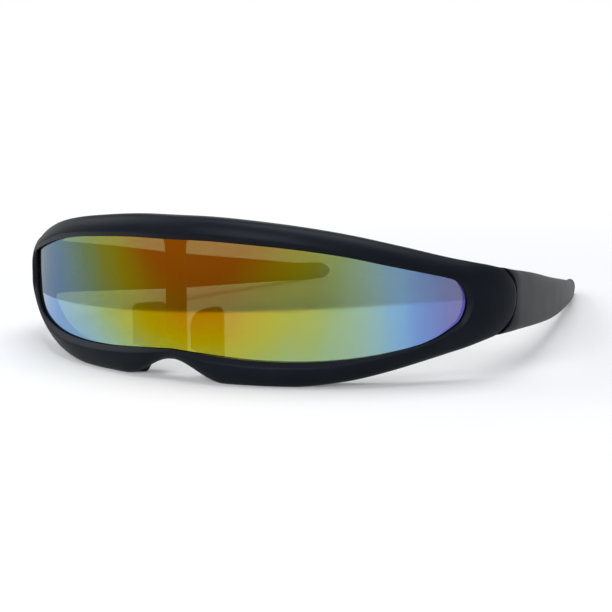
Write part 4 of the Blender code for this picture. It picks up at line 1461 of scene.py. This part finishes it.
@dataclass(frozen=True)
class ReflectionCard:
    """Low curved card round the front of the table, which only mirrors see."""

    centre: Pair = (39.0 * MM, -66.0 * MM)
    radius: float = 189.0 * MM
    height: float = 34.0 * MM
    sides: int = 160
    back_edge: float = 82.425 * MM
    dim: Stops = ((0.0, (0.2, 0.2, 0.21)), (0.04, (0.2, 0.2, 0.21)), (0.1, (0.3, 0.3, 0.31)),
                  (0.35, (0.42, 0.42, 0.43)), (0.7, (0.54, 0.54, 0.55)))
    bright: Stops = ((0.0, (0.42, 0.42, 0.43)), (0.3, (0.5, 0.5, 0.51)), (1.0, (0.6, 0.6, 0.61)))
    dim_band: Pair = (-131.0 * MM, 19.0 * MM)
    right_band: Pair = (89.0 * MM, 189.0 * MM)
    right: Colour = (0.62, 0.63, 0.69)
    left_band: Pair = (110.0 * MM, 165.0 * MM)
    left: Colour = (0.54, 0.55, 0.56)

    def material(self) -> Material:
        """Greys that grow paler upward, and plainer at both ends.

        Returns:
            The material.
        """
        graph = Graph.of_material("grey_card")
        x, _, z = graph.axes(graph.position())
        rise = z.within(0.0, self.height)
        bright, dim = graph.ramp(rise, self.bright), graph.ramp(rise, self.dim)
        grey = graph.blend(x.within(*self.dim_band), bright, dim)
        grey = graph.blend(x.within(*self.right_band), grey, self.right)
        grey = graph.blend((0.0 - x).within(*self.left_band), grey, self.left)
        return graph.finish(graph.glow(grey, 1.0))

    def build(self) -> None:
        """The card, open behind the table and hidden from camera, diffuse, shadow and transmission rays."""
        bpy.ops.object.select_all(action="DESELECT")
        bpy.ops.mesh.primitive_cylinder_add(
            vertices=self.sides, radius=self.radius, depth=self.height, end_fill_type="NOTHING",
            location=(*self.centre, self.height / 2))
        card = settled(bpy.context.object)
        card.name = "reflection_card"
        with editing(card):
            bpy.ops.mesh.bisect(plane_co=(0.0, self.back_edge, 0.0), plane_no=(0.0, 1.0, 0.0),
                                clear_outer=True)
        dress(card, self.material())
        for rays in ("camera", "diffuse", "shadow", "transmission"):
            setattr(card, "visible_" + rays, False)


@dataclass(frozen=True)
class Lamp:
    """Soft square lamp that shines at the middle of the table."""

    name: str
    place: Triple
    size: float
    power: float

    def build(self) -> None:
        """Hangs the lamp."""
        light = bpy.data.lights.new(self.name, "AREA")
        light.size = self.size
        light.energy = self.power
        lamp = bpy.data.objects.new(self.name, light)
        bpy.context.scene.collection.objects.link(lamp)
        lamp.location = self.place
        lamp.rotation_euler = (-lamp.location).to_track_quat("-Z", "Y").to_euler()


@dataclass(frozen=True)
class Studio:
    """Table, reflection card, soft surroundings, lamps and the camera."""

    shape: FrontShape
    camera_place: Triple = (213.3 * MM, -286.2 * MM, 69.1 * MM)
    azimuth: float = radians(31.24)
    pitch: float = radians(8.11)
    roll: float = radians(-0.07)
    focal_pixels: float = 1450.0
    image_pixels: float = 612.0
    sensor: float = 36.0
    clip_start: float = 10.0 * MM
    sky: Stops = ((0.0, (0.50, 0.50, 0.52)), (0.45, (0.62, 0.62, 0.64)), (0.62, (0.95, 0.95, 0.96)),
                  (0.75, (1.02, 1.02, 1.02)))
    roof: Colour = (0.36, 0.37, 0.41)
    roof_band: Pair = (0.12, 0.3)
    lamps: tuple[Lamp, ...] = (
        Lamp("overhead", (0.06, 0.08, 0.95), 0.75, 8.4), Lamp("left_box", (-0.8, -0.1, 0.6), 0.6, 2.8),
        Lamp("front_box", (0.0, -0.85, 0.47), 0.5, 6.4))

    def world(self) -> None:
        """Soft surroundings: pale behind and at the sides, greyer in front and overhead."""
        graph = Graph(bpy.data.worlds.new("soft_room"))
        _, y, z = graph.axes(graph.signal("ShaderNodeTexCoord", {}, {}, "Generated"))
        roof = graph.blend(z.within(*self.roof_band), WHITE, self.roof)
        room = graph.scaled(graph.ramp(y.within(-1.0, 1.0), self.sky), roof)
        background = graph.signal("ShaderNodeBackground", {}, {"Color": room, "Strength": 1.0})
        bpy.context.scene.world = graph.finish(background)

    def camera(self) -> None:
        """Camera at the photographed view, placed in the front's frame."""
        data = bpy.data.cameras.new("view")
        data.sensor_width = self.sensor
        data.lens = self.focal_pixels / self.image_pixels * self.sensor
        data.clip_start = self.clip_start
        camera = bpy.data.objects.new("view", data)
        bpy.context.scene.collection.objects.link(camera)
        camera.matrix_world = self.shape.rest() @ Matrix.Translation(self.camera_place)
        for angle, axis in ((self.azimuth, "Z"), (pi / 2 - self.pitch, "X"), (self.roll, "Z")):
            camera.matrix_world = camera.matrix_world @ Matrix.Rotation(angle, 4, axis)
        bpy.context.scene.camera = camera

    def build(self) -> None:
        """The whole set."""
        bpy.context.scene.view_settings.view_transform = "Standard"
        for prop in (Table(), ReflectionCard(), *self.lamps):
            prop.build()
        self.world()
        self.camera()


@dataclass(frozen=True)
class Sunglasses:
    """The dressed assembly."""

    shape: FrontShape

    def _carry(self, piece: Item, node: str, body: Body) -> None:
        """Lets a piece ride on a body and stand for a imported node.

        Args:
            piece: The finished piece.
            node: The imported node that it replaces.
            body: The body that it rides on.
        """
        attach(piece, body.value)
        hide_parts(node)
        LOG.info("%s stands for %s: %d faces", piece.name, node, len(piece.data.polygons))

    def build(self) -> None:
        """Builds, dresses and places every piece."""
        shape, room = self.shape, HingeRoom(self.shape)
        black, rubber = MatteBlack().material(), SoftRubber().material()
        self._carry(FrontRim(shape, room).build(black), "front_frame", Body.FRONT)
        lens = ShieldLens(shape).build(MirrorCoat(shape).material(), TintedSheet().material())
        self._carry(lens, "shield_lens", Body.FRONT)
        for (side, word), body in zip(SIDE_WORDS.items(), (Body.ARM_LEFT, Body.ARM_RIGHT)):
            self._carry(NosePad(shape, side).build(rubber), "nose_pad_" + word, Body.FRONT)
            self._carry(Arm(shape, room, side).build(black), "temple_" + word, body)
        self._dress_hinges()

    def _dress_hinges(self) -> None:
        """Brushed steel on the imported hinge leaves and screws."""
        steel = HingeSteel().material()
        for name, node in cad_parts.items():
            if "leaf" in name or "screw" in name:
                dress(node, steel)
                LOG.info("%s keeps its solid, in brushed steel", name)


def main() -> None:
    """Builds the glasses and their studio."""
    logging.basicConfig(level=logging.INFO, format="%(name)s: %(message)s")
    shape = FrontShape()
    Sunglasses(shape).build()
    Studio(shape).build()


if __name__ == "__main__":
    main()
